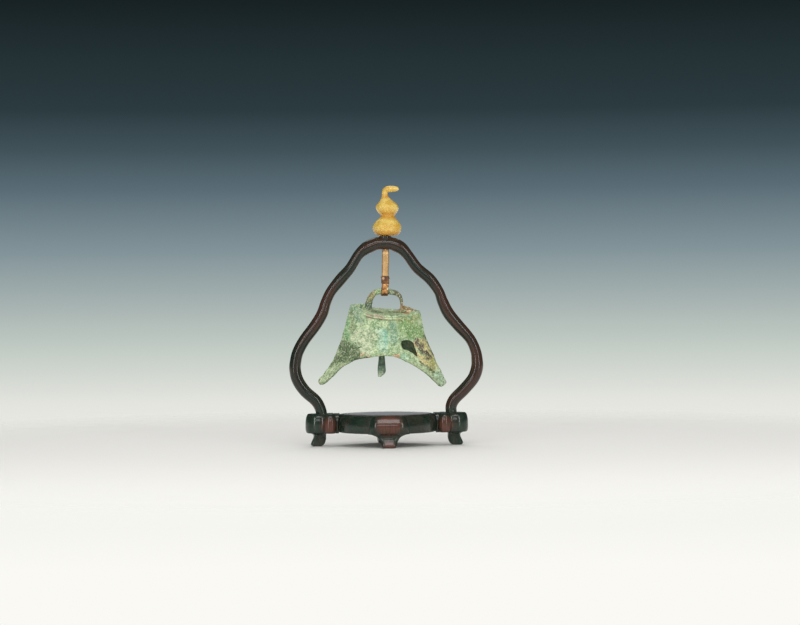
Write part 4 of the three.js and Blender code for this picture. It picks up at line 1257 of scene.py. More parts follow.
# %% Loss and crack
LOSS_START = np.array([10.7, -32.9]) * MM
LOSS_LENGTH = 17 * MM
LOSS_HALF_WIDTH = 4.9 * MM
LOSS_SLOPE = np.radians(-44.5)
# Share along the loss, share of the half width above and below the middle line
LOSS_SHARES = [
    [0.0, 0.08, -0.08],
    [0.03, 0.36, -0.14],
    [0.11, 0.68, -0.34],
    [0.25, 0.95, -0.52],
    [0.4, 1.02, -0.4],
    [0.53, 0.9, -0.22],
    [0.72, 0.56, -0.12],
    [0.88, 0.3, -0.08],
    [0.97, 0.08, -0.02],
    [1.0, 0.02, -0.02],
]
CRACK_SHARES = [
    [0.0, 0.1, -0.1],
    [0.2, 0.8, -0.6],
    [0.5, 0.9, -0.7],
    [0.8, 0.4, -0.3],
    [1.0, 0.02, -0.04],
]
CRACK_START = np.array([-20.4, -37.9]) * MM
CRACK_LENGTH = 4.0 * MM
CRACK_HALF_WIDTH = 0.36 * MM
CRACK_SLOPE = np.radians(27)
LEAF_ROWS = 46
RAGGED = 0.22


def leaf(shares, start, length, half_width, slope):
    """Closed outline in the bell's x and z: the widths above, and back along those below."""
    along, above, below = (fair(shares, LEAF_ROWS) * [length, half_width, half_width]).T
    upper, lower = np.column_stack([along, above]), np.column_stack([along, below])
    outline = np.vstack([upper, lower[-2:0:-1]])
    ahead = np.array([np.cos(slope), np.sin(slope)])
    beside = np.array([-np.sin(slope), np.cos(slope)])
    turned = start + outline[:, :1] * ahead + outline[:, 1:] * beside
    flat = np.column_stack([turned[:, 0], 0 * turned[:, 0], turned[:, 1]])
    ragged = RAGGED * min(half_width, MM) * rough(flat, 1.1 * MM, 2, 8.2)
    return turned + ragged[:, None] * beside


loss = leaf(LOSS_SHARES, LOSS_START, LOSS_LENGTH, LOSS_HALF_WIDTH, LOSS_SLOPE)
crack = leaf(CRACK_SHARES, CRACK_START, CRACK_LENGTH, CRACK_HALF_WIDTH, CRACK_SLOPE)
print("the loss is mm wide and high:", (1000 * np.ptp(loss, axis=0)).round(1))

# %% [markdown]
# A cutter is a wedge between two copies of its outline, one in front of the wall and one behind
# it, and it is thrown away after the cut. Before the cuts, each vertex gets a key, made from
# its place.

# %% Cutting the bell
CUT_FRONT = -32 * MM
CUT_BACK = -9 * MM
KEY_OFFSET = 2**18
KEY_BASE = 2**19


def place_keys(mesh):
    """One whole number for each vertex: x, y and z in micrometres, laid end to end."""
    places = np.empty(3 * len(mesh.vertices), np.float32)
    mesh.vertices.foreach_get("co", places)
    whole = np.round(places.reshape(-1, 3) / (0.001 * MM)).astype(np.int64) + KEY_OFFSET
    return (whole[:, 0] * KEY_BASE + whole[:, 1]) * KEY_BASE + whole[:, 2]


def cut_through_front(target, outline):
    """Cuts the wedge over an outline out of the target by an exact boolean and drops the wedge."""
    rings = np.stack([np.insert(outline, 1, y, axis=1) for y in (CUT_FRONT, CUT_BACK)])
    wedge = linked("wedge", mesh_of("wedge", *closed(to_world(rings))))
    cut = target.modifiers.new("cut", "BOOLEAN")
    cut.operation = "DIFFERENCE"
    cut.solver = "EXACT"
    cut.object = wedge
    evaluated = target.evaluated_get(bpy.context.evaluated_depsgraph_get())
    before = len(target.data.polygons)
    result = bpy.data.meshes.new_from_object(evaluated)
    target.modifiers.clear()
    target.data = result
    bpy.data.objects.remove(wedge)
    print("faces before and after the cut:", before, len(result.polygons))


uncut_keys = place_keys(bell.data)
cut_through_front(bell, loss)
cut_through_front(bell, crack)

# %% [markdown]
# The boolean forgets the marks, so they are laid on after it. A vertex that it left alone is
# known again by its place. Those that it made, on the broken edges, have no mark.

# %% Marks on the cut bell
cut_keys = place_keys(bell.data)
in_order = np.argsort(uncut_keys)
nearest = np.searchsorted(uncut_keys, cut_keys, sorter=in_order)
same = in_order[np.minimum(nearest, len(in_order) - 1)]
known = uncut_keys[same] == cut_keys
laid = np.where(known[:, None], marks[same], 0.0)
attribute = bell.data.attributes.new(MARKS, "FLOAT_VECTOR", "POINT")
attribute.data.foreach_set("vector", laid.astype(np.float32).ravel())
print("vertices known again and made by the cuts:", known.sum(), (~known).sum())

# %% [markdown]
# ## Hoop, staple, link and clapper
# The hoop is a cast rod, stout at the left and worn thin at the right, that spreads into the
# plate at both feet. Staple, link and clapper hang inside. The rods are round sections carried
# along flat paths, the link is a chain link with straight sides, and the clapper is a flat
# tongue whose half widths come from a table.

# %% Hoop
HOOP_BAR_RADIUS = 2.1 * MM
HOOP_HALF_SPAN = 11.9 * MM
HOOP_HEIGHT = 14.5 * MM
HOOP_WAVES = 0.09
HOOP_PITS = 0.06
# The bar stays smooth where the strap rubs it
SMOOTH_HALF_WIDTH = 4.2 * MM
# Share of the half span, share of the height down from the bar, share of the bar's radius
HOOP_SHARES = [
    [-1.12, 1.06, 2.2],
    [-1.08, 0.94, 1.85],
    [-1.03, 0.76, 1.42],
    [-0.99, 0.55, 1.2],
    [-0.87, 0.3, 1.05],
    [-0.68, 0.1, 0.93],
    [-0.4, 0.01, 0.96],
    [-0.2, 0.0, 1.0],
    [0.2, 0.0, 1.0],
    [0.38, 0.03, 0.93],
    [0.68, 0.09, 0.81],
    [0.91, 0.24, 0.64],
    [1.0, 0.46, 0.48],
    [1.01, 0.74, 0.5],
    [1.03, 0.88, 0.74],
    [1.07, 0.99, 1.35],
]
hoop_rows = fair(HOOP_SHARES, 600)
hoop_back = -BELL_SET_BACK * np.clip(hoop_rows[:, 1], 0, 1)
hoop_x, hoop_z, hoop_radius = (hoop_rows * [HOOP_HALF_SPAN, -HOOP_HEIGHT, HOOP_BAR_RADIUS]).T
hoop_line = even(np.column_stack([hoop_x, hoop_back, hoop_z, hoop_radius]), 190)
hoop_plane = np.cross(X_AXIS, [0, -BELL_SET_BACK, -HOOP_HEIGHT])
hoop_plane /= np.linalg.norm(hoop_plane)
hoop_middle = hoop_line[:, None, :3]
hoop_rings = carry(section(56, 1, 1), hoop_line[:, :3], hoop_plane, hoop_line[:, 3])
hoop_waves = HOOP_WAVES * rough(hoop_rings, 4 * MM, 2, 1.7)
hoop_wear = hoop_waves + HOOP_PITS * rough(hoop_rings, 1.2 * MM, 2, 6.1)
beside_strap = 1 - hump(hoop_line[:, None, 0], 0, SMOOTH_HALF_WIDTH)
hoop_rings = swollen(hoop_rings, hoop_middle, hoop_wear * beside_strap)
skin("bell_hoop_cast", to_world(hoop_rings), "bell", "bell_bronze", "bell_hoop")

# %% [markdown]
# The staple is bent from wire in the bell's own frame and leans with it. The link hangs straight
# down in the common frame, between the staple's bar and the clapper's eye.

# %% Staple and link
STAPLE_WIRE = 0.9 * MM
STAPLE_HALF_WIDTH = 2.6 * MM
STAPLE_DROP = 4.6 * MM
LINK_WIRE = 0.8 * MM
LINK_HALF_WIDTH = 2.2 * MM

staple_middle = from_world(STAPLE_BAR)
leg_up = STAPLE_DROP + 0.4 * TOP_PLATE
# Sideways place and height over the bar, in half widths
staple_route = np.array(
    [
        [-1.0, leg_up / STAPLE_HALF_WIDTH],
        [-1.0, 1.2],
        [-1.0, 0.6],
        [-0.82, 0.18],
        [-0.4, 0.0],
        [0.0, 0.0],
        [0.4, 0.0],
        [0.82, 0.18],
        [1.0, 0.6],
        [1.0, 1.2],
        [1.0, leg_up / STAPLE_HALF_WIDTH],
    ]
)
staple_route = even(fair(staple_route * STAPLE_HALF_WIDTH, 300), 90, 2)
staple_path = staple_middle + np.insert(staple_route, 1, 0, axis=1)
staple_rings = carry(section(32, STAPLE_WIRE, STAPLE_WIRE), staple_path, Y_AXIS)
staple_rings = pitted(staple_rings, 0.05 * MM, 1.5 * MM)
skin("clapper_staple_bent", to_world(staple_rings), "bell", "clapper_bronze", "clapper_staple")

link_top = STAPLE_BAR[2] + STAPLE_WIRE + FIT_GAP + LINK_WIRE
link_bottom = EYE[2]
half_straight = 0.5 * (link_top - link_bottom) - LINK_HALF_WIDTH
turned = full_turn(400)
link_y = LINK_HALF_WIDTH * np.cos(turned)
link_z = LINK_HALF_WIDTH * np.sin(turned) + half_straight * np.sign(np.sin(turned))
link_middle = np.array([EYE[0], EYE[1], 0.5 * (link_top + link_bottom)])
link_loop = link_middle + np.column_stack([0 * link_y, link_y, link_z])
link_path = even(np.vstack([link_loop, link_loop[:1]]), 121)[:-1]
link_rings = carry(section(28, LINK_WIRE, LINK_WIRE), link_path, X_AXIS, loop=True)
link_rings = pitted(link_rings, 0.04 * MM, 1.5 * MM)
skin("clapper_link_bent", link_rings, "link", "clapper_bronze", "clapper_link", loop=True)

# %% [markdown]
# The clapper is one tongue and one round eye that overlap. The tongue is a flat section of its
# own width at every row, so it isn't carried but stretched.

# %% Clapper
CLAPPER_THICKNESS = 2.2 * MM
CLAPPER_LENGTH = 35.8 * MM
CLAPPER_EYE_RADIUS = 1.35 * MM
CLAPPER_HEAD_RADIUS = 2.5 * MM
CLAPPER_HALF_WIDTH = 2.9 * MM
# Share of the length, share of the half width at the left and at the right, share of the thickness
CLAPPER_SHARES = [
    [0.052, -0.34, 0.34, 0.8],
    [0.09, -0.5, 0.48, 0.96],
    [0.17, -0.57, 0.54, 1.0],
    [0.35, -0.62, 0.58, 1.0],
    [0.6, -0.76, 0.7, 1.0],
    [0.84, -1.08, 0.92, 1.0],
    [0.9, -1.08, 0.9, 0.99],
    [0.95, -1.06, 0.66, 0.94],
    [0.98, -1.04, 0.2, 0.86],
    [1.01, -0.96, -0.35, 0.6],
]
tongue_rows = fair(CLAPPER_SHARES, 130)
tongue_outline = section(44, 1, 1, 2.8)
tongue_left = tongue_rows[:, 1] * CLAPPER_HALF_WIDTH
tongue_right = tongue_rows[:, 2] * CLAPPER_HALF_WIDTH
tongue_middle = 0.5 * (tongue_left + tongue_right)[:, None]
tongue_half = 0.5 * (tongue_right - tongue_left)[:, None]
tongue_x = tongue_middle + tongue_half * tongue_outline[:, 0]
tongue_y = 0.5 * CLAPPER_THICKNESS * tongue_rows[:, 3:4] * tongue_outline[:, 1]
tongue_z = np.broadcast_to(-tongue_rows[:, :1] * CLAPPER_LENGTH, tongue_x.shape)
tongue_rings = EYE + np.stack([tongue_x, tongue_y, tongue_z], axis=-1)
tongue_rings = pitted(tongue_rings, 0.07 * MM, 2 * MM, 3)
skin("clapper_tongue_cast", tongue_rings, "clapper", "clapper_bronze", "clapper_tongue")

eye_middle = 0.5 * (CLAPPER_EYE_RADIUS + CLAPPER_HEAD_RADIUS)
eye_half = 0.5 * (CLAPPER_HEAD_RADIUS - CLAPPER_EYE_RADIUS)
eye_angle = full_turn(72)
eye_path = EYE + eye_middle * np.column_stack([np.cos(eye_angle), 0 * eye_angle, np.sin(eye_angle)])
eye_rings = carry(section(28, 0.5 * CLAPPER_THICKNESS, eye_half, 2.6), eye_path, Y_AXIS, loop=True)
skin("clapper_eye_cast", eye_rings, "clapper", "clapper_bronze", loop=True)

# %% [markdown]
# ## Finishes
# Every finish is a shader whose colour, roughness and bump are worked out from the place on the
# piece. A few helpers keep the node trees readable: a colour from a paint chart, a node with its
# inputs in one call, sums on values and places, and the places themselves.

# %% Paint and nodes
def paint(red, green, blue):
    """A shader's colour from a paint chart's 0 to 255 values: the display curve is undone."""
    share = np.array([red, green, blue]) / 255
    linear = np.where(share <= 0.04045, share / 12.92, ((share + 0.055) / 1.055) ** 2.4)
    return (*linear.tolist(), 1.0)


def node(tree, kind, inputs=None, **settings):
    """Adds a node. Settings are its own fields; an input is a plain value or another's output."""
    made = tree.nodes.new("ShaderNode" + kind)
    for name, value in settings.items():
        setattr(made, name, value)
    for key, value in (inputs or {}).items():
        if isinstance(value, bpy.types.NodeSocket):
            tree.links.new(value, made.inputs[key])
        else:
            made.inputs[key].default_value = value
    return made


def maths(tree, operation, first, second=0.0, clamp=False):
    """One sum on two values, kept between 0 and 1 if clamp."""
    return node(tree, "Math", {0: first, 1: second}, operation=operation, use_clamp=clamp).outputs[0]


def vector(tree, operation, first, second):
    """One sum on two places, for x, y and z alike."""
    return node(tree, "VectorMath", {0: first, 1: second}, operation=operation).outputs[0]


def parts(tree, at):
    """The x, y and z of a place, as three values."""
    return node(tree, "SeparateXYZ", {0: at}).outputs


def own_place(tree):
    """The place in the piece's own frame, which turns with it."""
    return node(tree, "TexCoord").outputs["Object"]


def stored(tree, name):
    """The vector that a piece carries as an attribute."""
    return node(tree, "Attribute", attribute_name=name).outputs["Vector"]


print("mid grey of the chart on a shader:", round(paint(128, 128, 128)[0], 3))

# %% [markdown]
# From these come the patterns: noise with lumps of a given size, a soft threshold, a mix of two
# colours, a spot round one place and a relief.


# %% Patterns
def noise(tree, at, size, detail=3.0, roughness=0.55, colour=False):
    """Noise whose lumps are about `size` across; its colour serves as three noises at once."""
    inputs = {"Vector": at, "Scale": 1 / size, "Detail": detail, "Roughness": roughness}
    return node(tree, "TexNoise", inputs).outputs["Color" if colour else "Fac"]


def above(tree, value, low, high):
    """Soft threshold: 0 below low, 1 above high; low may be the larger one to turn it round."""
    return node(tree, "MapRange", {0: value, 1: low, 2: high}, interpolation_type="SMOOTHSTEP").outputs[0]


def blend(tree, share, first, second, strength=None):
    """Mix of two colours; each is a paint chart's three values or another node's colour. The
    share may be weakened by a strength."""
    if strength is not None:
        share = maths(tree, "MULTIPLY", share, strength)
    colours = [paint(*colour) if isinstance(colour, tuple) else colour for colour in (first, second)]
    return node(tree, "Mix", {0: share, 6: colours[0], 7: colours[1]}, data_type="RGBA").outputs[2]


def spot(tree, at, place, radius):
    """1 near a place and 0 beyond the radius, with a soft edge; the place is in metres."""
    distance = node(tree, "VectorMath", {0: at, 1: tuple(place)}, operation="DISTANCE").outputs["Value"]
    return above(tree, distance, 1.15 * radius, 0.45 * radius)


def bumped(tree, height, depth, strength=1.0):
    """Surface relief: a height of 0 to 1 that stands for `depth` in metres."""
    return node(tree, "Bump", {"Height": height, "Distance": depth, "Strength": strength}).outputs[0]


# %% [markdown]
# A finish is made for one slot, wired up with its patterns and given to its pieces.


# %% Making and giving a finish
def wired(tree, shader, colour, relief, roughness=None):
    """Plugs the colour, the relief and, if given, the roughness into the shader. The relief is a
    height with its depth and strength; the roughness is a share with its value at 0 and at 1."""
    tree.links.new(colour, shader.inputs["Base Color"])
    tree.links.new(bumped(tree, *relief), shader.inputs["Normal"])
    if roughness:
        share, at_zero, at_one = roughness
        rough_value = node(tree, "MapRange", {0: share, 3: at_zero, 4: at_one}).outputs[0]
        tree.links.new(rough_value, shader.inputs["Roughness"])


def finish(slot, **constants):
    """A new finish with its plain numbers set on the shader itself."""
    material = bpy.data.materials.new(slot)
    material.use_nodes = True
    shader = material.node_tree.nodes["Principled BSDF"]
    for name, value in constants.items():
        shader.inputs[name.replace("_", " ").title().replace("Ior", "IOR")].default_value = value
    return material, material.node_tree, shader


def dressed(material, *prefixes):
    """Gives the finish to every piece whose name starts with one of the prefixes."""
    names = [made.name for made in bpy.data.objects if made.name.startswith(prefixes)]
    for name in names:
        mesh = bpy.data.objects[name].data
        mesh.materials.clear()
        mesh.materials.append(material)
    print(material.name, "on", len(names), "pieces")


# %% [markdown]
# The stand is dense tropical hardwood, rubbed with oil until it shines. Close to, it is a nearly
# black ground with reddish streaks and fine pores along the grain. On the shoulders, the front foot
# and the inner lobes the red is painted light: it stands for the lamps' light falling on the wood
# there. A thin coat over a smooth base gives the narrow, sharp highlight.

# %% Dark wood
PORE = 0.0007
STREAK = 0.0045
GRAIN_STRETCH = 16
# Height at which the base's colours begin and are full
BASE_EDGE = [0.030, 0.025]
# Place and radius in metres of the red painted light, at the shoulders, the front foot and the inner
# lobes
RED_PAINTED_LIGHT_PLACES = [
    ((0.0, -0.0385, 0.0170), 0.011),
    ((0.0, -0.0380, 0.0020), 0.006),
    ((0.0, 0.0385, 0.0170), 0.011),
    ((0.0420, -0.0120, 0.0150), 0.0075),
    ((-0.0420, -0.0120, 0.0150), 0.0075),
    ((0.0420, 0.0120, 0.0150), 0.0075),
    ((-0.0420, 0.0120, 0.0150), 0.0075),
]


def wood_colour(tree, dark, middle, red, red_share):
    """Streaks along the grain run from dark to middle, and red patches lie over them."""
    grain = stored(tree, GRAIN)
    along = vector(tree, "MULTIPLY", grain, (1, 1, 1 / GRAIN_STRETCH))
    streaks = noise(tree, along, STREAK, 4)
    fine = noise(tree, along, 0.25 * STREAK, 3)
    ground = blend(tree, above(tree, streaks, 0.38, 0.66), dark, middle)
    reddened = maths(tree, "MULTIPLY", red_share, above(tree, fine, 0.1, 0.6))
    pores = above(tree, noise(tree, along, PORE, 2), 0.3, 0.4)
    closed = maths(tree, "ADD", maths(tree, "MULTIPLY", pores, 0.6), 0.4)
    return blend(tree, closed, dark, blend(tree, reddened, ground, red)), pores, fine


dark_wood, tree, shader = finish(
    "dark_wood", coat_weight=0.5, coat_roughness=0.1, specular_ior_level=0.18
)
object_at = own_place(tree)
heartwood = vector(tree, "MULTIPLY", stored(tree, GRAIN), (1, 1, 0.15))
red_share = maths(tree, "MULTIPLY", above(tree, noise(tree, heartwood, 0.007, 2), 0.4, 0.6), 0.8)
low_wood = above(tree, parts(tree, object_at)[2], *BASE_EDGE)
on_arch = maths(tree, "SUBTRACT", 1.0, maths(tree, "MULTIPLY", low_wood, 0.8))
red_share = maths(tree, "MULTIPLY", red_share, on_arch)
# The red at these places is painted light, where the lamps fall on the wood
for place, radius in RED_PAINTED_LIGHT_PLACES:
    red_share = maths(tree, "MAXIMUM", red_share, spot(tree, object_at, place, radius))
colour, pores, fine = wood_colour(tree, (25, 41, 33), (38, 52, 41), (90, 53, 42), red_share)
high_wood = maths(tree, "SUBTRACT", 1.0, low_wood)
colour = blend(tree, high_wood, colour, (34, 28, 22), 0.45)
wired(tree, shader, colour, (pores, 0.00003, 0.3), (fine, 0.2, 0.36))
dressed(dark_wood, "base_drum", "end_block", "leg_", "arch", "finial_collar")

# %% [markdown]
# The panel is the same wood, sanded flat and smoother. Seen at a low angle it mirrors the pale
# backdrop, and a little sheen lifts it as fine dust would.

# %% Panel wood
panel_wood, tree, shader = finish(
    "panel_wood", specular_ior_level=0.5, sheen_weight=0.31, sheen_roughness=0.3
)
object_at = own_place(tree)
red_share = above(tree, noise(tree, object_at, 0.03, 2), 0.4, 0.7)
colour, pores, fine = wood_colour(tree, (34, 27, 22), (56, 40, 30), (88, 50, 36), red_share)
wired(tree, shader, colour, (pores, 0.00001, 0.2), (fine, 0.14, 0.2))
dressed(panel_wood, "base_panel")

# %% [markdown]
# The gourd is a soft yellow stone with a waxy skin. Light goes a little way in, so the shader
# has some subsurface scattering. The colour is a cloudy mix of honey and butter, deeper amber is
# painted shade in the hollows of the waist, round the stalk and above the seat, and the stalk's
# cut end is dark.

# %% Gourd stone
# Places and radii in metres of the amber painted shade in the waist and round the stalk
AMBER_SHADE_PLACES = [
    ((0.0019, -0.0020, 0.1660), 0.0068),
    ((0.0019, 0.0020, 0.1660), 0.0068),
    ((0.0005, 0.0, 0.1785), 0.0040),
]
AMBER_SHADE_SEAT = [0.1526, 0.1562]
STALK_TIP = (0.0102, 0.0, 0.1853)

gourd_stone, tree, shader = finish(
    "gourd_stone",
    subsurface_weight=0.15,
    subsurface_scale=0.002,
    subsurface_radius=(1.0, 0.7, 0.35),
    coat_weight=0.2,
    coat_roughness=0.3,
)
object_at = own_place(tree)
cloud = above(tree, noise(tree, object_at, 0.006, 4), 0.34, 0.68)
veins = above(tree, noise(tree, object_at, 0.0022, 3), 0.52, 0.72)
wander = vector(tree, "SUBTRACT", noise(tree, object_at, 0.004, 2, colour=True), (0.5, 0.5, 0.5))
shifted = vector(tree, "ADD", object_at, vector(tree, "MULTIPLY", wander, (0.004, 0.004, 0.004)))
height = parts(tree, shifted)[2]
# Amber painted shade above the seat and in the hollows of the waist and the stalk
amber_shade_share = maths(tree, "MULTIPLY", above(tree, height, AMBER_SHADE_SEAT[1], AMBER_SHADE_SEAT[0]), 0.85)
for place, radius in AMBER_SHADE_PLACES:
    gathered_shade = maths(tree, "MULTIPLY", spot(tree, shifted, place, radius), 0.8)
    amber_shade_share = maths(tree, "MAXIMUM", amber_shade_share, gathered_shade)
colour = blend(tree, cloud, (206, 164, 62), (228, 200, 108))
colour = blend(tree, veins, colour, (246, 218, 140), 0.3)
colour = blend(tree, amber_shade_share, colour, (196, 138, 46))
colour = blend(tree, spot(tree, object_at, STALK_TIP, 0.0014), colour, (92, 72, 44))
lumps = noise(tree, object_at, 0.0016, 3)
wired(tree, shader, colour, (lumps, 0.00012, 0.5), (cloud, 0.34, 0.46))
dressed(gourd_stone, "finial_gourd")

# %% [markdown]
# The strap is rolled copper that has gone dull and tan. It has brown edges and long faint
# scratches, and from the binding down, where it has been bent and rubbed by the hoop, it is
# more orange and blotched. Its hook has painted shade on its underside and a painted highlight
# by the bar.

# %% Copper
STRAP_EDGE = [1.45 * MM, 2.25 * MM]
BENT_BELOW = [0.1225, 0.1165]
COPPER_STRETCH = 12
# Places in metres of the painted shade under the hook and of the painted highlight by the bar
HOOK_UNDERSIDE_SHADE = (-0.0009, -0.0020, 0.1079)
HOOK_PAINTED_GLINT = (0.0019, -0.0029, 0.1128)

copper, tree, shader = finish("copper", metallic=0.35, specular_ior_level=0.5)
object_at = own_place(tree)
grain = stored(tree, GRAIN)
scratched = noise(tree, vector(tree, "MULTIPLY", grain, (1, 1, 1 / COPPER_STRETCH)), 0.0006, 3)
blotches = above(tree, noise(tree, object_at, 0.0018, 3), 0.42, 0.66)
beside = maths(tree, "ABSOLUTE", parts(tree, grain)[0])
edge = maths(tree, "MULTIPLY", above(tree, beside, *STRAP_EDGE), 0.75)
bent = above(tree, parts(tree, object_at)[2], *BENT_BELOW)
flat_colour = blend(tree, above(tree, scratched, 0.3, 0.7), (190, 151, 97), (219, 182, 128))
bent_colour = blend(tree, blotches, (206, 154, 92), (150, 96, 56))
flat_colour = blend(tree, blotches, flat_colour, (182, 138, 88), 0.3)
colour = blend(tree, bent, flat_colour, bent_colour)
colour = blend(tree, edge, colour, (104, 70, 42))
# Painted shade on the hook's underside
colour = blend(tree, spot(tree, object_at, HOOK_UNDERSIDE_SHADE, 0.0028), colour, (92, 60, 40))
# Painted highlight on the strap just by the bar
colour = blend(tree, spot(tree, object_at, HOOK_PAINTED_GLINT, 0.0014), colour, (252, 232, 192))
wired(tree, shader, colour, (scratched, 0.00005, 0.5), (scratched, 0.34, 0.52))
dressed(copper, "hanger_")

# %% [markdown]
# The cane is split and brown, with dark fibres along it and one pale painted highlight at the front.

# %% Cane
CANE_PAINTED_HIGHLIGHT = (-0.0018, -0.0019, 0.1203)

cane, tree, shader = finish("cane", roughness=0.55)
object_at = own_place(tree)
flattened = vector(tree, "MULTIPLY", object_at, (0.35, 0.35, 1.6))
fibre = noise(tree, flattened, 0.0006, 3)
patches = above(tree, noise(tree, object_at, 0.0026, 2), 0.42, 0.62)
colour = blend(tree, patches, (98, 64, 36), (134, 92, 54))
colour = blend(tree, above(tree, fibre, 0.5, 0.72), colour, (88, 50, 34))
# A painted highlight on the front of the binding
colour = blend(tree, spot(tree, object_at, CANE_PAINTED_HIGHLIGHT, 0.0011), colour, (206, 164, 124))
wired(tree, shader, colour, (fibre, 0.00008, 0.6))
dressed(cane, "strap_binding")

# %% [markdown]
# ## The patina
# Buried bronze grows a skin of copper salts. Pale green carbonate lies over a darker green, and
# is crossed by fine dark veins where the crust has cracked. There are blooms of turquoise,
# specks of cream, and ochre, orange and purple-brown places where the metal's own iron and
# oxide come through. The pattern is laid in the bell's own frame, and each stain is a place,
# a radius and a colour, with its edge broken up by shifting the place by coarse noise.

# %% Stains
# Name: places joined to a streak, radius in mm, paint, strength. A place is x and drop in mm on
# the front wall, or x, y and drop in mm in the bell's frame.
STAINS = {
    "shoulder teal": ([(-23.4, 10.5), (-19, 15.2)], 4.0, (112, 146, 128), 0.6),
    "shoulder olive": ([(-24.5, 12), (-24, 17)], 1.9, (120, 132, 94), 0.65),
    "left leaf green": ([(-27.5, 21), (-28.5, 33)], 3.2, (122, 174, 122), 0.7),
    "left brown streak": ([(-23.4, 18), (-23, 28)], 1.7, (126, 140, 100), 0.6),
    "cream field": ([(-21, 30), (-11, 28), (-15, 37)], 5.5, (208, 214, 184), 0.5),
    "turquoise bloom": ([(-2.5, 25), (-2, 35)], 3.8, (164, 208, 190), 0.6),
    "deep turquoise": ([(-1, 25), (1.4, 31)], 2.0, (118, 182, 164), 0.75),
    "teal cloud": ([(5.5, 20), (6.2, 30)], 3.4, (120, 162, 140), 0.75),
    "olive top": ([(10, 17), (18.6, 19), (23, 17)], 3.0, (138, 146, 84), 0.75),
    "right leaf green": ([(14, 23), (24, 28.5)], 5.4, (118, 158, 92), 0.8),
    "mint at lip": ([(13, 43), (16, 44.5)], 2.0, (170, 212, 184), 0.7),
    "left scab": ([(-31, 38.5), (-21, 42), (-31, 46)], 4.8, (84, 102, 72), 0.95),
    "left scab lower": ([(-34, 47.5), (-38, 52)], 3.0, (106, 122, 88), 0.85),
    "left tip": ([(-43, 61), (-32, 54)], 4.2, (190, 204, 166), 0.75),
    "right ochre": ([(27, 36), (31.7, 47.5), (34.5, 53)], 4.4, (206, 190, 130), 0.85),
    "ochre inner": ([(22.5, 43.2), (30.3, 50)], 2.3, (218, 198, 136), 0.8),
    "olive on the horn": ([(33, 48), (37, 56)], 3.2, (162, 160, 88), 0.75),
    "purple streak": ([(22.6, 33.6), (24.6, 37.2), (26.4, 41), (30.2, 44.4)], 2.3, (94, 68, 60), 0.95),
    "purple end": ([(28, 42.6), (31, 45.6)], 2.2, (78, 58, 54), 0.95),
    "dark by the ridge": ([(26.5, 32), (27.5, 34)], 1.2, (84, 70, 50), 0.9),
    "rust by the loss": ([(20.8, 34.4), (22.2, 38.8), (23.2, 43.4)], 0.8, (198, 146, 92), 0.85),
    "right tip": ([(38, 60), (42, 65)], 5.0, (186, 212, 182), 0.75),
    "dark line on the horn": ([(24, 47.5), (30, 52.4), (35.4, 58.4)], 1.1, (92, 92, 56), 0.9),
    "orange at left lip": ([(-17.8, 42.8), (-12.4, 42)], 1.4, (206, 150, 114), 0.85),
    "orange at right lip": ([(5.2, 41.2), (9.6, 42)], 1.4, (212, 152, 116), 0.85),
    # Painted shade along the underside of the lip
    "painted shade under the lip": ([(-22.5, 46.4), (-15.8, 45.8), (-7, 44.2)], 1.9, (56, 62, 44), 0.95),
    "dark ridge": ([(28, 31), (32, 40.5), (36.6, 49)], 1.4, (80, 64, 48), 0.9),
    "pink rim": ([(-12.5, 14.2), (-2, 15.4)], 1.9, (178, 156, 138), 0.85),
    "dark corner": ([(22.4, 13.2), (23, 14.6)], 0.8, (62, 72, 56), 0.85),
    "plate olive": ([(-12, -8, 12.6), (12, -8, 13.4)], 5.0, (148, 158, 110), 0.6),
    "plate right shade": ([(4.6, -6, 13.4), (11, -8, 13.3)], 3.2, (98, 112, 84), 0.85),
    "plate right dark": ([(7.4, -17, 14.2), (9.4, -16.6, 14.1)], 1.4, (26, 32, 24), 0.95),
    "plate left dark": ([(-17, -5, 12.4), (-11, -9, 13.2), (-5, -12, 13.4)], 2.8, (74, 98, 76), 0.9),
    "left mound": ([(-13.6, -2, 11), (-16.4, -5, 12)], 2.8, (78, 104, 86), 0.9),
    "back rim cream": ([(-11, 3, 12.2), (10, 3, 13.0)], 1.2, (208, 178, 152), 0.75),
    "crust at right foot": ([(11.5, -3, 11), (14, -11, 13), (20, -5, 11.6)], 3.4, (158, 118, 76), 0.95),
    "cream at right foot": ([(14.4, -8, 12), (18, -9, 12.4)], 1.2, (226, 200, 158), 0.9),
    "back dark field": ([(-18, 4, 30), (-6, 6, 36), (-20, 4, 42)], 6.0, (92, 116, 84), 0.8),
    "back ochre": ([(24, 2, 42), (30, 1, 52)], 4.0, (176, 160, 104), 0.8),
    "mint corner": ([(22, -9, 12.8), (23.5, -8, 13.0)], 1.6, (192, 216, 188), 0.8),
}
# The same for the hoop, whose sides are weathered differently
HOOP_STAINS = {
    "left limb": ([(-8.5, -0.6, 1.6), (-11.6, -3, 5), (-12, -5.6, 9.5)], 4.2, (128, 102, 58), 0.92),
    "left limb dark": ([(-10, -1, 3.4), (-11, -3.5, 7)], 1.0, (82, 78, 50), 0.85),
    "left foot": ([(-12, -5, 9), (-13, -7, 13.5)], 3.6, (64, 90, 76), 0.95),
    "left top": ([(-6, -0.4, 0.8), (-2, 0, 0)], 2.4, (146, 178, 124), 0.85),
    "left top dark": ([(-5.6, -0.6, 1.9), (-2.5, -0.3, 1.6)], 1.1, (66, 90, 60), 0.85),
    "right top": ([(3, -0.2, 0.3), (9.6, -0.6, 2)], 3.6, (86, 96, 74), 0.92),
    "right top pale": ([(4.6, -0.2, 0), (8, -0.6, 1.4)], 0.8, (176, 184, 158), 0.7),
    "right limb": ([(10.4, -1.2, 2.8), (11.9, -5, 9.6)], 3.4, (92, 80, 62), 0.92),
    "right foot": ([(12.2, -6, 10), (13, -7.2, 13.6)], 2.8, (148, 110, 72), 0.95),
}

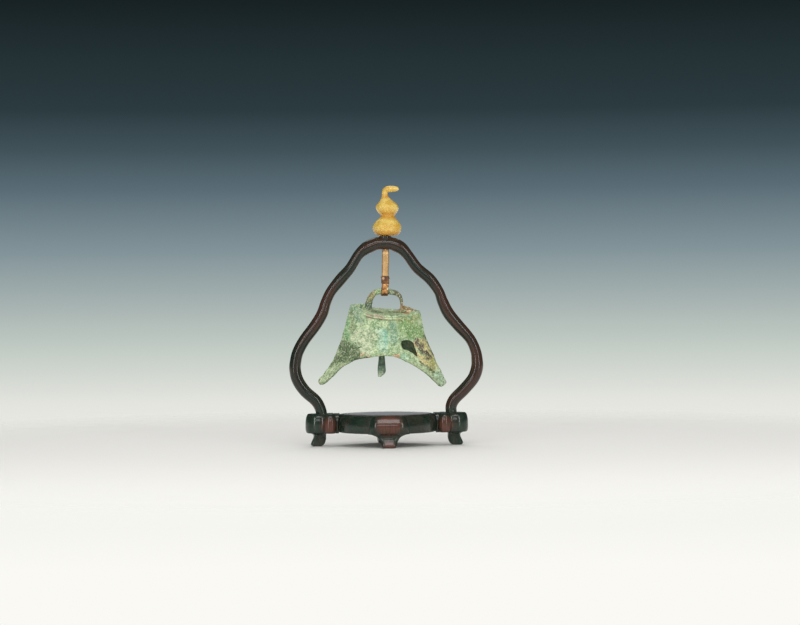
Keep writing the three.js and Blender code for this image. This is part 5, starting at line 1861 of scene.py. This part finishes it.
print("stains on the bell and on its hoop:", len(STAINS), len(HOOP_STAINS))

# %% [markdown]
# A stain lies along a streak, which is a row of straight runs. Its share falls evenly from the
# streak to the end of its reach, and a noise is added before the soft threshold, so that the
# edge is ragged.

# %% Laying a stain
STAIN_REACH = 1.8


def stain_place(place):
    """Metres in the bell's frame. For a place of two numbers, y is read from the front wall."""
    if len(place) == 3:
        x, y, drop = place
        return np.array([x, y, -drop]) * MM
    x, drop = np.array(place) * MM
    middle, half = bell_width(drop)
    return bell_points((x - middle) / half, -1.0, drop, 0)


def streak_distance(tree, at, start, end):
    """Distance from a straight streak: the nearest place along it is kept between its ends."""
    along = end - start
    from_start = vector(tree, "SUBTRACT", at, tuple(start))
    unit_run = {0: from_start, 1: tuple(along / (along @ along))}
    run = node(tree, "VectorMath", unit_run, operation="DOT_PRODUCT").outputs["Value"]
    kept = maths(tree, "MULTIPLY", run, 1.0, clamp=True)
    nearest = node(tree, "VectorMath", {0: tuple(along), 3: kept}, operation="SCALE").outputs[0]
    return node(tree, "VectorMath", {0: from_start, 1: nearest}, operation="DISTANCE").outputs["Value"]


def stained(tree, colour, at, stains, ragged):
    """Lays each stain over the colour. It fades with the distance, and noise eats its edge."""
    for places, radius, stain, strength in stains.values():
        line = [stain_place(place) for place in places]
        distance = streak_distance(tree, at, line[0], line[1])
        for start, end in zip(line[1:-1], line[2:]):
            distance = maths(tree, "MINIMUM", distance, streak_distance(tree, at, start, end))
        fall = {0: distance, 1: 0.0, 2: STAIN_REACH * radius * MM, 3: 1.0, 4: 0.0}
        closeness = node(tree, "MapRange", fall).outputs[0]
        eaten = above(tree, maths(tree, "ADD", closeness, ragged), 0.3, 0.62)
        colour = blend(tree, eaten, colour, stain, strength)
    return colour


# %% [markdown]
# Under the stains the crust has four layers of its own: broad clouds, a mottle as wide as a
# grain of rice, cream and dark grit, and dark veins where the crust has cracked.

# %% Patina
DRIFT = 9 * MM
JITTER = 3 * MM


def moved(tree, at, size, reach):
    """A place shifted by a coloured noise, up to about a quarter of the reach each way."""
    drift = vector(tree, "SUBTRACT", noise(tree, at, size, 2, colour=True), (0.5, 0.5, 0.5))
    return vector(tree, "ADD", at, vector(tree, "MULTIPLY", drift, (reach, reach, reach)))


def patina(slot, stains):
    """Returns the finish, its shader, the crust's colour and its noises."""
    material, tree, shader = finish(slot, specular_ior_level=0.2)
    object_at = own_place(tree)
    lean = (BELL_LEAN, 0.0, 0.0)
    at = node(tree, "Mapping", {0: object_at, 1: tuple(BAR), 2: lean}, vector_type="TEXTURE").outputs[0]
    coarse = noise(tree, at, 0.0048, 4, 0.6)
    middle = noise(tree, vector(tree, "ADD", at, (0.12, 0.07, 0.2)), 0.0019, 4, 0.62)
    fine = noise(tree, vector(tree, "ADD", at, (0.31, 0.17, 0.05)), 0.0009, 3)
    colour = blend(tree, above(tree, coarse, 0.36, 0.64), (148, 180, 134), (190, 208, 166))
    ragged = maths(tree, "ADD", middle, maths(tree, "MULTIPLY", fine, 0.7))
    ragged = maths(tree, "SUBTRACT", ragged, 0.85)
    strayed = moved(tree, moved(tree, at, 0.006, DRIFT), 0.002, JITTER)
    colour = stained(tree, colour, strayed, stains, ragged)
    pale = maths(tree, "MULTIPLY", above(tree, middle, 0.51, 0.65), 0.6)
    colour = blend(tree, pale, colour, blend(tree, 0.62, colour, (228, 232, 196)))
    deep = maths(tree, "MULTIPLY", above(tree, middle, 0.48, 0.36), 0.85)
    colour = blend(tree, deep, colour, blend(tree, 0.66, colour, (78, 114, 72)))
    colour = blend(tree, above(tree, fine, 0.55, 0.66), colour, (222, 226, 190), 0.65)
    colour = blend(tree, above(tree, fine, 0.44, 0.34), colour, (84, 102, 64), 0.65)
    crack = maths(tree, "ABSOLUTE", maths(tree, "SUBTRACT", middle, 0.5))
    veined = maths(tree, "MULTIPLY", above(tree, crack, 0.03, 0.006), above(tree, coarse, 0.6, 0.4))
    colour = blend(tree, veined, colour, (88, 108, 76), 0.45)
    return material, tree, shader, colour, (coarse, middle, fine, veined)


# %% [markdown]
# On the bell itself the marks come on top: painted shade in the grooves of the rim's band, a
# painted highlight on the bead, a dull line along the lip, and painted shade on the inside.

# %% Bell patina
bell_bronze, tree, shader, colour, (coarse, middle, fine, veined) = patina("bell_bronze", STAINS)
mark = parts(tree, stored(tree, MARKS))
# A noise breaks up the painted shade in the grooves and the painted highlight on the bead
worn = above(tree, middle, 0.34, 0.5)
# Painted shade in the rim's grooves
groove_shade = maths(tree, "MULTIPLY", mark[0], worn)
groove_shade = maths(tree, "MULTIPLY", groove_shade, 0.6, clamp=True)
colour = blend(tree, groove_shade, colour, (92, 90, 60))
# Painted highlight on the bead
bead = maths(tree, "MULTIPLY", mark[0], -0.7, clamp=True)
colour = blend(tree, bead, colour, (206, 204, 166), worn)
lip_share = maths(tree, "MULTIPLY", above(tree, mark[1], 0.9, 1.0), above(tree, coarse, 0.44, 0.56))
colour = blend(tree, lip_share, colour, (124, 116, 78), 0.35)
# Painted shade on the inside of the bell
inside_shade_colour = blend(tree, above(tree, middle, 0.35, 0.65), (60, 84, 62), (92, 118, 88))
colour = blend(tree, mark[2], colour, inside_shade_colour, 0.6)
relief = maths(tree, "ADD", maths(tree, "MULTIPLY", middle, 0.6), maths(tree, "MULTIPLY", fine, 0.4))
relief = maths(tree, "SUBTRACT", relief, maths(tree, "MULTIPLY", veined, 0.25))
wired(tree, shader, colour, (relief, 0.0006, 0.9), (fine, 0.62, 0.9))
dressed(bell_bronze, "bell_body")

# %% [markdown]
# The hoop has the same crust under stains of its own, and no marks.

# %% Hoop patina
hoop_bronze, tree, shader, colour, (_, middle, fine, _) = patina("hoop_bronze", HOOP_STAINS)
relief = maths(tree, "ADD", middle, fine)
wired(tree, shader, colour, (relief, 0.0004, 0.9), (fine, 0.6, 0.85))
dressed(hoop_bronze, "bell_hoop")

# %% [markdown]
# Staple, link and clapper are a darker bronze, dusty with pale grit, and the clapper's tip, which
# hangs out of the bell, is paler: pale grit, painted heavier there as painted light.

# %% Clapper bronze
PAINTED_LIGHT_BELOW = [0.0545, 0.0505]

clapper_bronze, tree, shader = finish("clapper_bronze", roughness=0.62, specular_ior_level=0.35)
object_at = own_place(tree)
cloud = above(tree, noise(tree, object_at, 0.004, 4), 0.36, 0.64)
grit = noise(tree, object_at, 0.0009, 3)
colour = blend(tree, cloud, (58, 80, 64), (98, 122, 96))
colour = blend(tree, above(tree, grit, 0.56, 0.68), colour, (168, 184, 150), 0.6)
# Pale grit on the tip below the bell, painted heavier there as painted light
low = above(tree, parts(tree, object_at)[2], *PAINTED_LIGHT_BELOW)
colour = blend(tree, low, colour, (176, 186, 158), above(tree, grit, 0.4, 0.56))
wired(tree, shader, colour, (grit, 0.0003, 0.8))
dressed(clapper_bronze, "clapper_")

# %% [markdown]
# ## The studio
# The floor is a plain pale disc that fades out at its rim, so that the backdrop takes over
# without an edge.

# %% Floor
FLOOR_RADIUS = 0.62
FLOOR_FADE_FROM = 0.25
FLOOR_PAINT = (244, 243, 238)
FLOOR_SIDES = 128

angle = full_turn(FLOOR_SIDES)
floor_points = FLOOR_RADIUS * np.column_stack([np.cos(angle), np.sin(angle), 0 * angle])
floor_mesh = bpy.data.meshes.new("floor")
floor_mesh.from_pydata(floor_points.tolist(), [], [list(range(FLOOR_SIDES))])
floor = linked("floor", floor_mesh)

floor_paint, tree, shader = finish(
    "floor paint", base_color=paint(*FLOOR_PAINT), roughness=0.9, specular_ior_level=0.1
)
distance = node(tree, "VectorMath", {0: own_place(tree)}, operation="LENGTH").outputs["Value"]
fade = node(
    tree,
    "MapRange",
    {0: distance, 1: FLOOR_FADE_FROM, 2: FLOOR_RADIUS * 0.97, 3: 1.0, 4: 0.0},
    interpolation_type="SMOOTHSTEP",
)
tree.links.new(fade.outputs[0], shader.inputs["Alpha"])
floor_mesh.materials.append(floor_paint)
print("floor radius in metres:", FLOOR_RADIUS)

# %% [markdown]
# The backdrop is the world as the camera and mirror-like surfaces see it: pale at the level of
# the floor and darker further up. All other rays see an even, weaker light. A light path node
# tells the two kinds of ray apart.

# %% World
# Height of the line of sight, as the upward part of its direction, and the backdrop's paint
BACKDROP = [
    [-0.12, (250, 249, 244)],
    [-0.061, (236, 237, 231)],
    [-0.042, (227, 228, 222)],
    [-0.018, (196, 205, 198)],
    [0.006, (165, 177, 176)],
    [0.03, (130, 147, 153)],
    [0.059, (90, 108, 118)],
    [0.078, (65, 82, 89)],
    [0.097, (44, 59, 64)],
    [0.148, (24, 34, 36)],
]
SOFT_LIGHT = 0.45
# The room in front of the backdrop is dark, which shows in polished wood only
DARK_ROOM = 0.8

world = bpy.data.worlds.new("studio")
bpy.context.scene.world = world
world.use_nodes = True
tree = world.node_tree
background = tree.nodes["Background"]
_, ahead, upward = parts(tree, node(tree, "TexCoord").outputs["Generated"])
low_edge, high_edge = BACKDROP[0][0], BACKDROP[-1][0]
backdrop_share = node(tree, "MapRange", {0: upward, 1: low_edge, 2: high_edge}).outputs[0]
ramp = node(tree, "ValToRGB", {0: backdrop_share})
stops = ramp.color_ramp.elements
stops.remove(stops[1])
stops[0].color = paint(*BACKDROP[0][1])
for height, colour in BACKDROP[1:]:
    stops.new((height - low_edge) / (high_edge - low_edge)).color = paint(*colour)
rays = node(tree, "LightPath").outputs
mirrored = maths(tree, "MAXIMUM", rays["Is Glossy Ray"], rays["Is Transmission Ray"])
seen = maths(tree, "MAXIMUM", rays["Is Camera Ray"], mirrored)
room = maths(tree, "MULTIPLY", mirrored, above(tree, ahead, -0.1, -0.5))
strength = maths(tree, "SUBTRACT", 1.0, maths(tree, "MULTIPLY", room, DARK_ROOM))
shown = node(tree, "Background", {0: ramp.outputs[0], 1: strength}).outputs[0]
background.inputs[0].default_value = (1.0, 1.0, 1.0, 1.0)
background.inputs[1].default_value = SOFT_LIGHT
mixed = node(tree, "MixShader", {0: seen, 1: background.outputs[0], 2: shown}).outputs[0]
tree.links.new(mixed, tree.nodes["World Output"].inputs[0])
print("stops in the backdrop:", len(stops))

# %% [markdown]
# Five lamps light the object: two wide ones in front, one over the back and a tall narrow one at
# each side. The last two draw the long thin line of light along the arch.

# %% Lamps
# Azimuth and elevation in degrees from the front, distance, width and height in metres, watts
LAMPS = {
    "over_front": (0, 36, 1.3, 0.9, 0.25, 4.2),
    "low_front": (-4, 13, 1.3, 0.8, 0.22, 2.0),
    "over_back": (180, 56, 1.3, 0.9, 0.9, 4.3),
    "left_window": (-36, 12, 1.2, 0.1, 0.8, 2.9),
    "right_window": (36, 12, 1.2, 0.1, 0.8, 2.9),
}
LAMP_AIM = np.array([0, 0, 0.08])


def towards(azimuth, elevation):
    """Unit direction from the object to a place seen at that azimuth and elevation."""
    around, up = np.radians([azimuth, elevation])
    return np.array([np.sin(around) * np.cos(up), -np.cos(around) * np.cos(up), np.sin(up)])


def looking(back, roll=0.0):
    """Turn of a lamp or camera whose back points along `back`, with its right side level."""
    right = np.cross(Z_AXIS, back)
    right /= np.linalg.norm(right)
    up = np.cross(back, right)
    tilted_right = right * np.cos(roll) + up * np.sin(roll)
    return np.stack([tilted_right, np.cross(back, tilted_right), back], axis=1)


def placed(made, position, turn_by):
    """Sets the whole place of a lamp or camera from its position and its three axes."""
    matrix = np.eye(4)
    matrix[:3, :3] = turn_by
    matrix[:3, 3] = position
    made.matrix_world = Matrix(matrix.tolist())


for name, (azimuth, elevation, away, width, height, watts) in LAMPS.items():
    light = bpy.data.lights.new(name, "AREA")
    light.shape = "RECTANGLE"
    light.size = width
    light.size_y = height
    light.energy = watts
    back = towards(azimuth, elevation)
    placed(linked(name, light), LAMP_AIM + away * back, looking(back))
print("lamps:", ", ".join(LAMPS))

# %% [markdown]
# ## The camera
# The photograph shows the stand from the front, level with its middle and from a good way off,
# so the lens is a long one. A pixel on the object is 0.72 mm, which at this distance gives the
# focal length. The aim puts the middle of the picture on the place that it has in the
# photograph, and a slight roll follows the camera's own tilt.

# %% Camera
CAMERA_AWAY = 1.5
CAMERA_AZIMUTH = -3
CAMERA_AIM = np.array([0.01014, 0, 0.09558])
CAMERA_ROLL = np.radians(-0.5)
PIXEL_SIZE = 0.72 * MM
PICTURE_WIDTH = 800
SENSOR = 36

lens = bpy.data.cameras.new("camera")
lens.sensor_width = SENSOR
lens.lens = SENSOR * CAMERA_AWAY / (PICTURE_WIDTH * PIXEL_SIZE)
camera = linked("camera", lens)
back = towards(CAMERA_AZIMUTH, 0)
placed(camera, CAMERA_AIM + CAMERA_AWAY * back, looking(back, CAMERA_ROLL))
bpy.context.scene.camera = camera
bpy.context.scene.view_settings.view_transform = "Standard"
print("lens in mm:", round(lens.lens, 2))
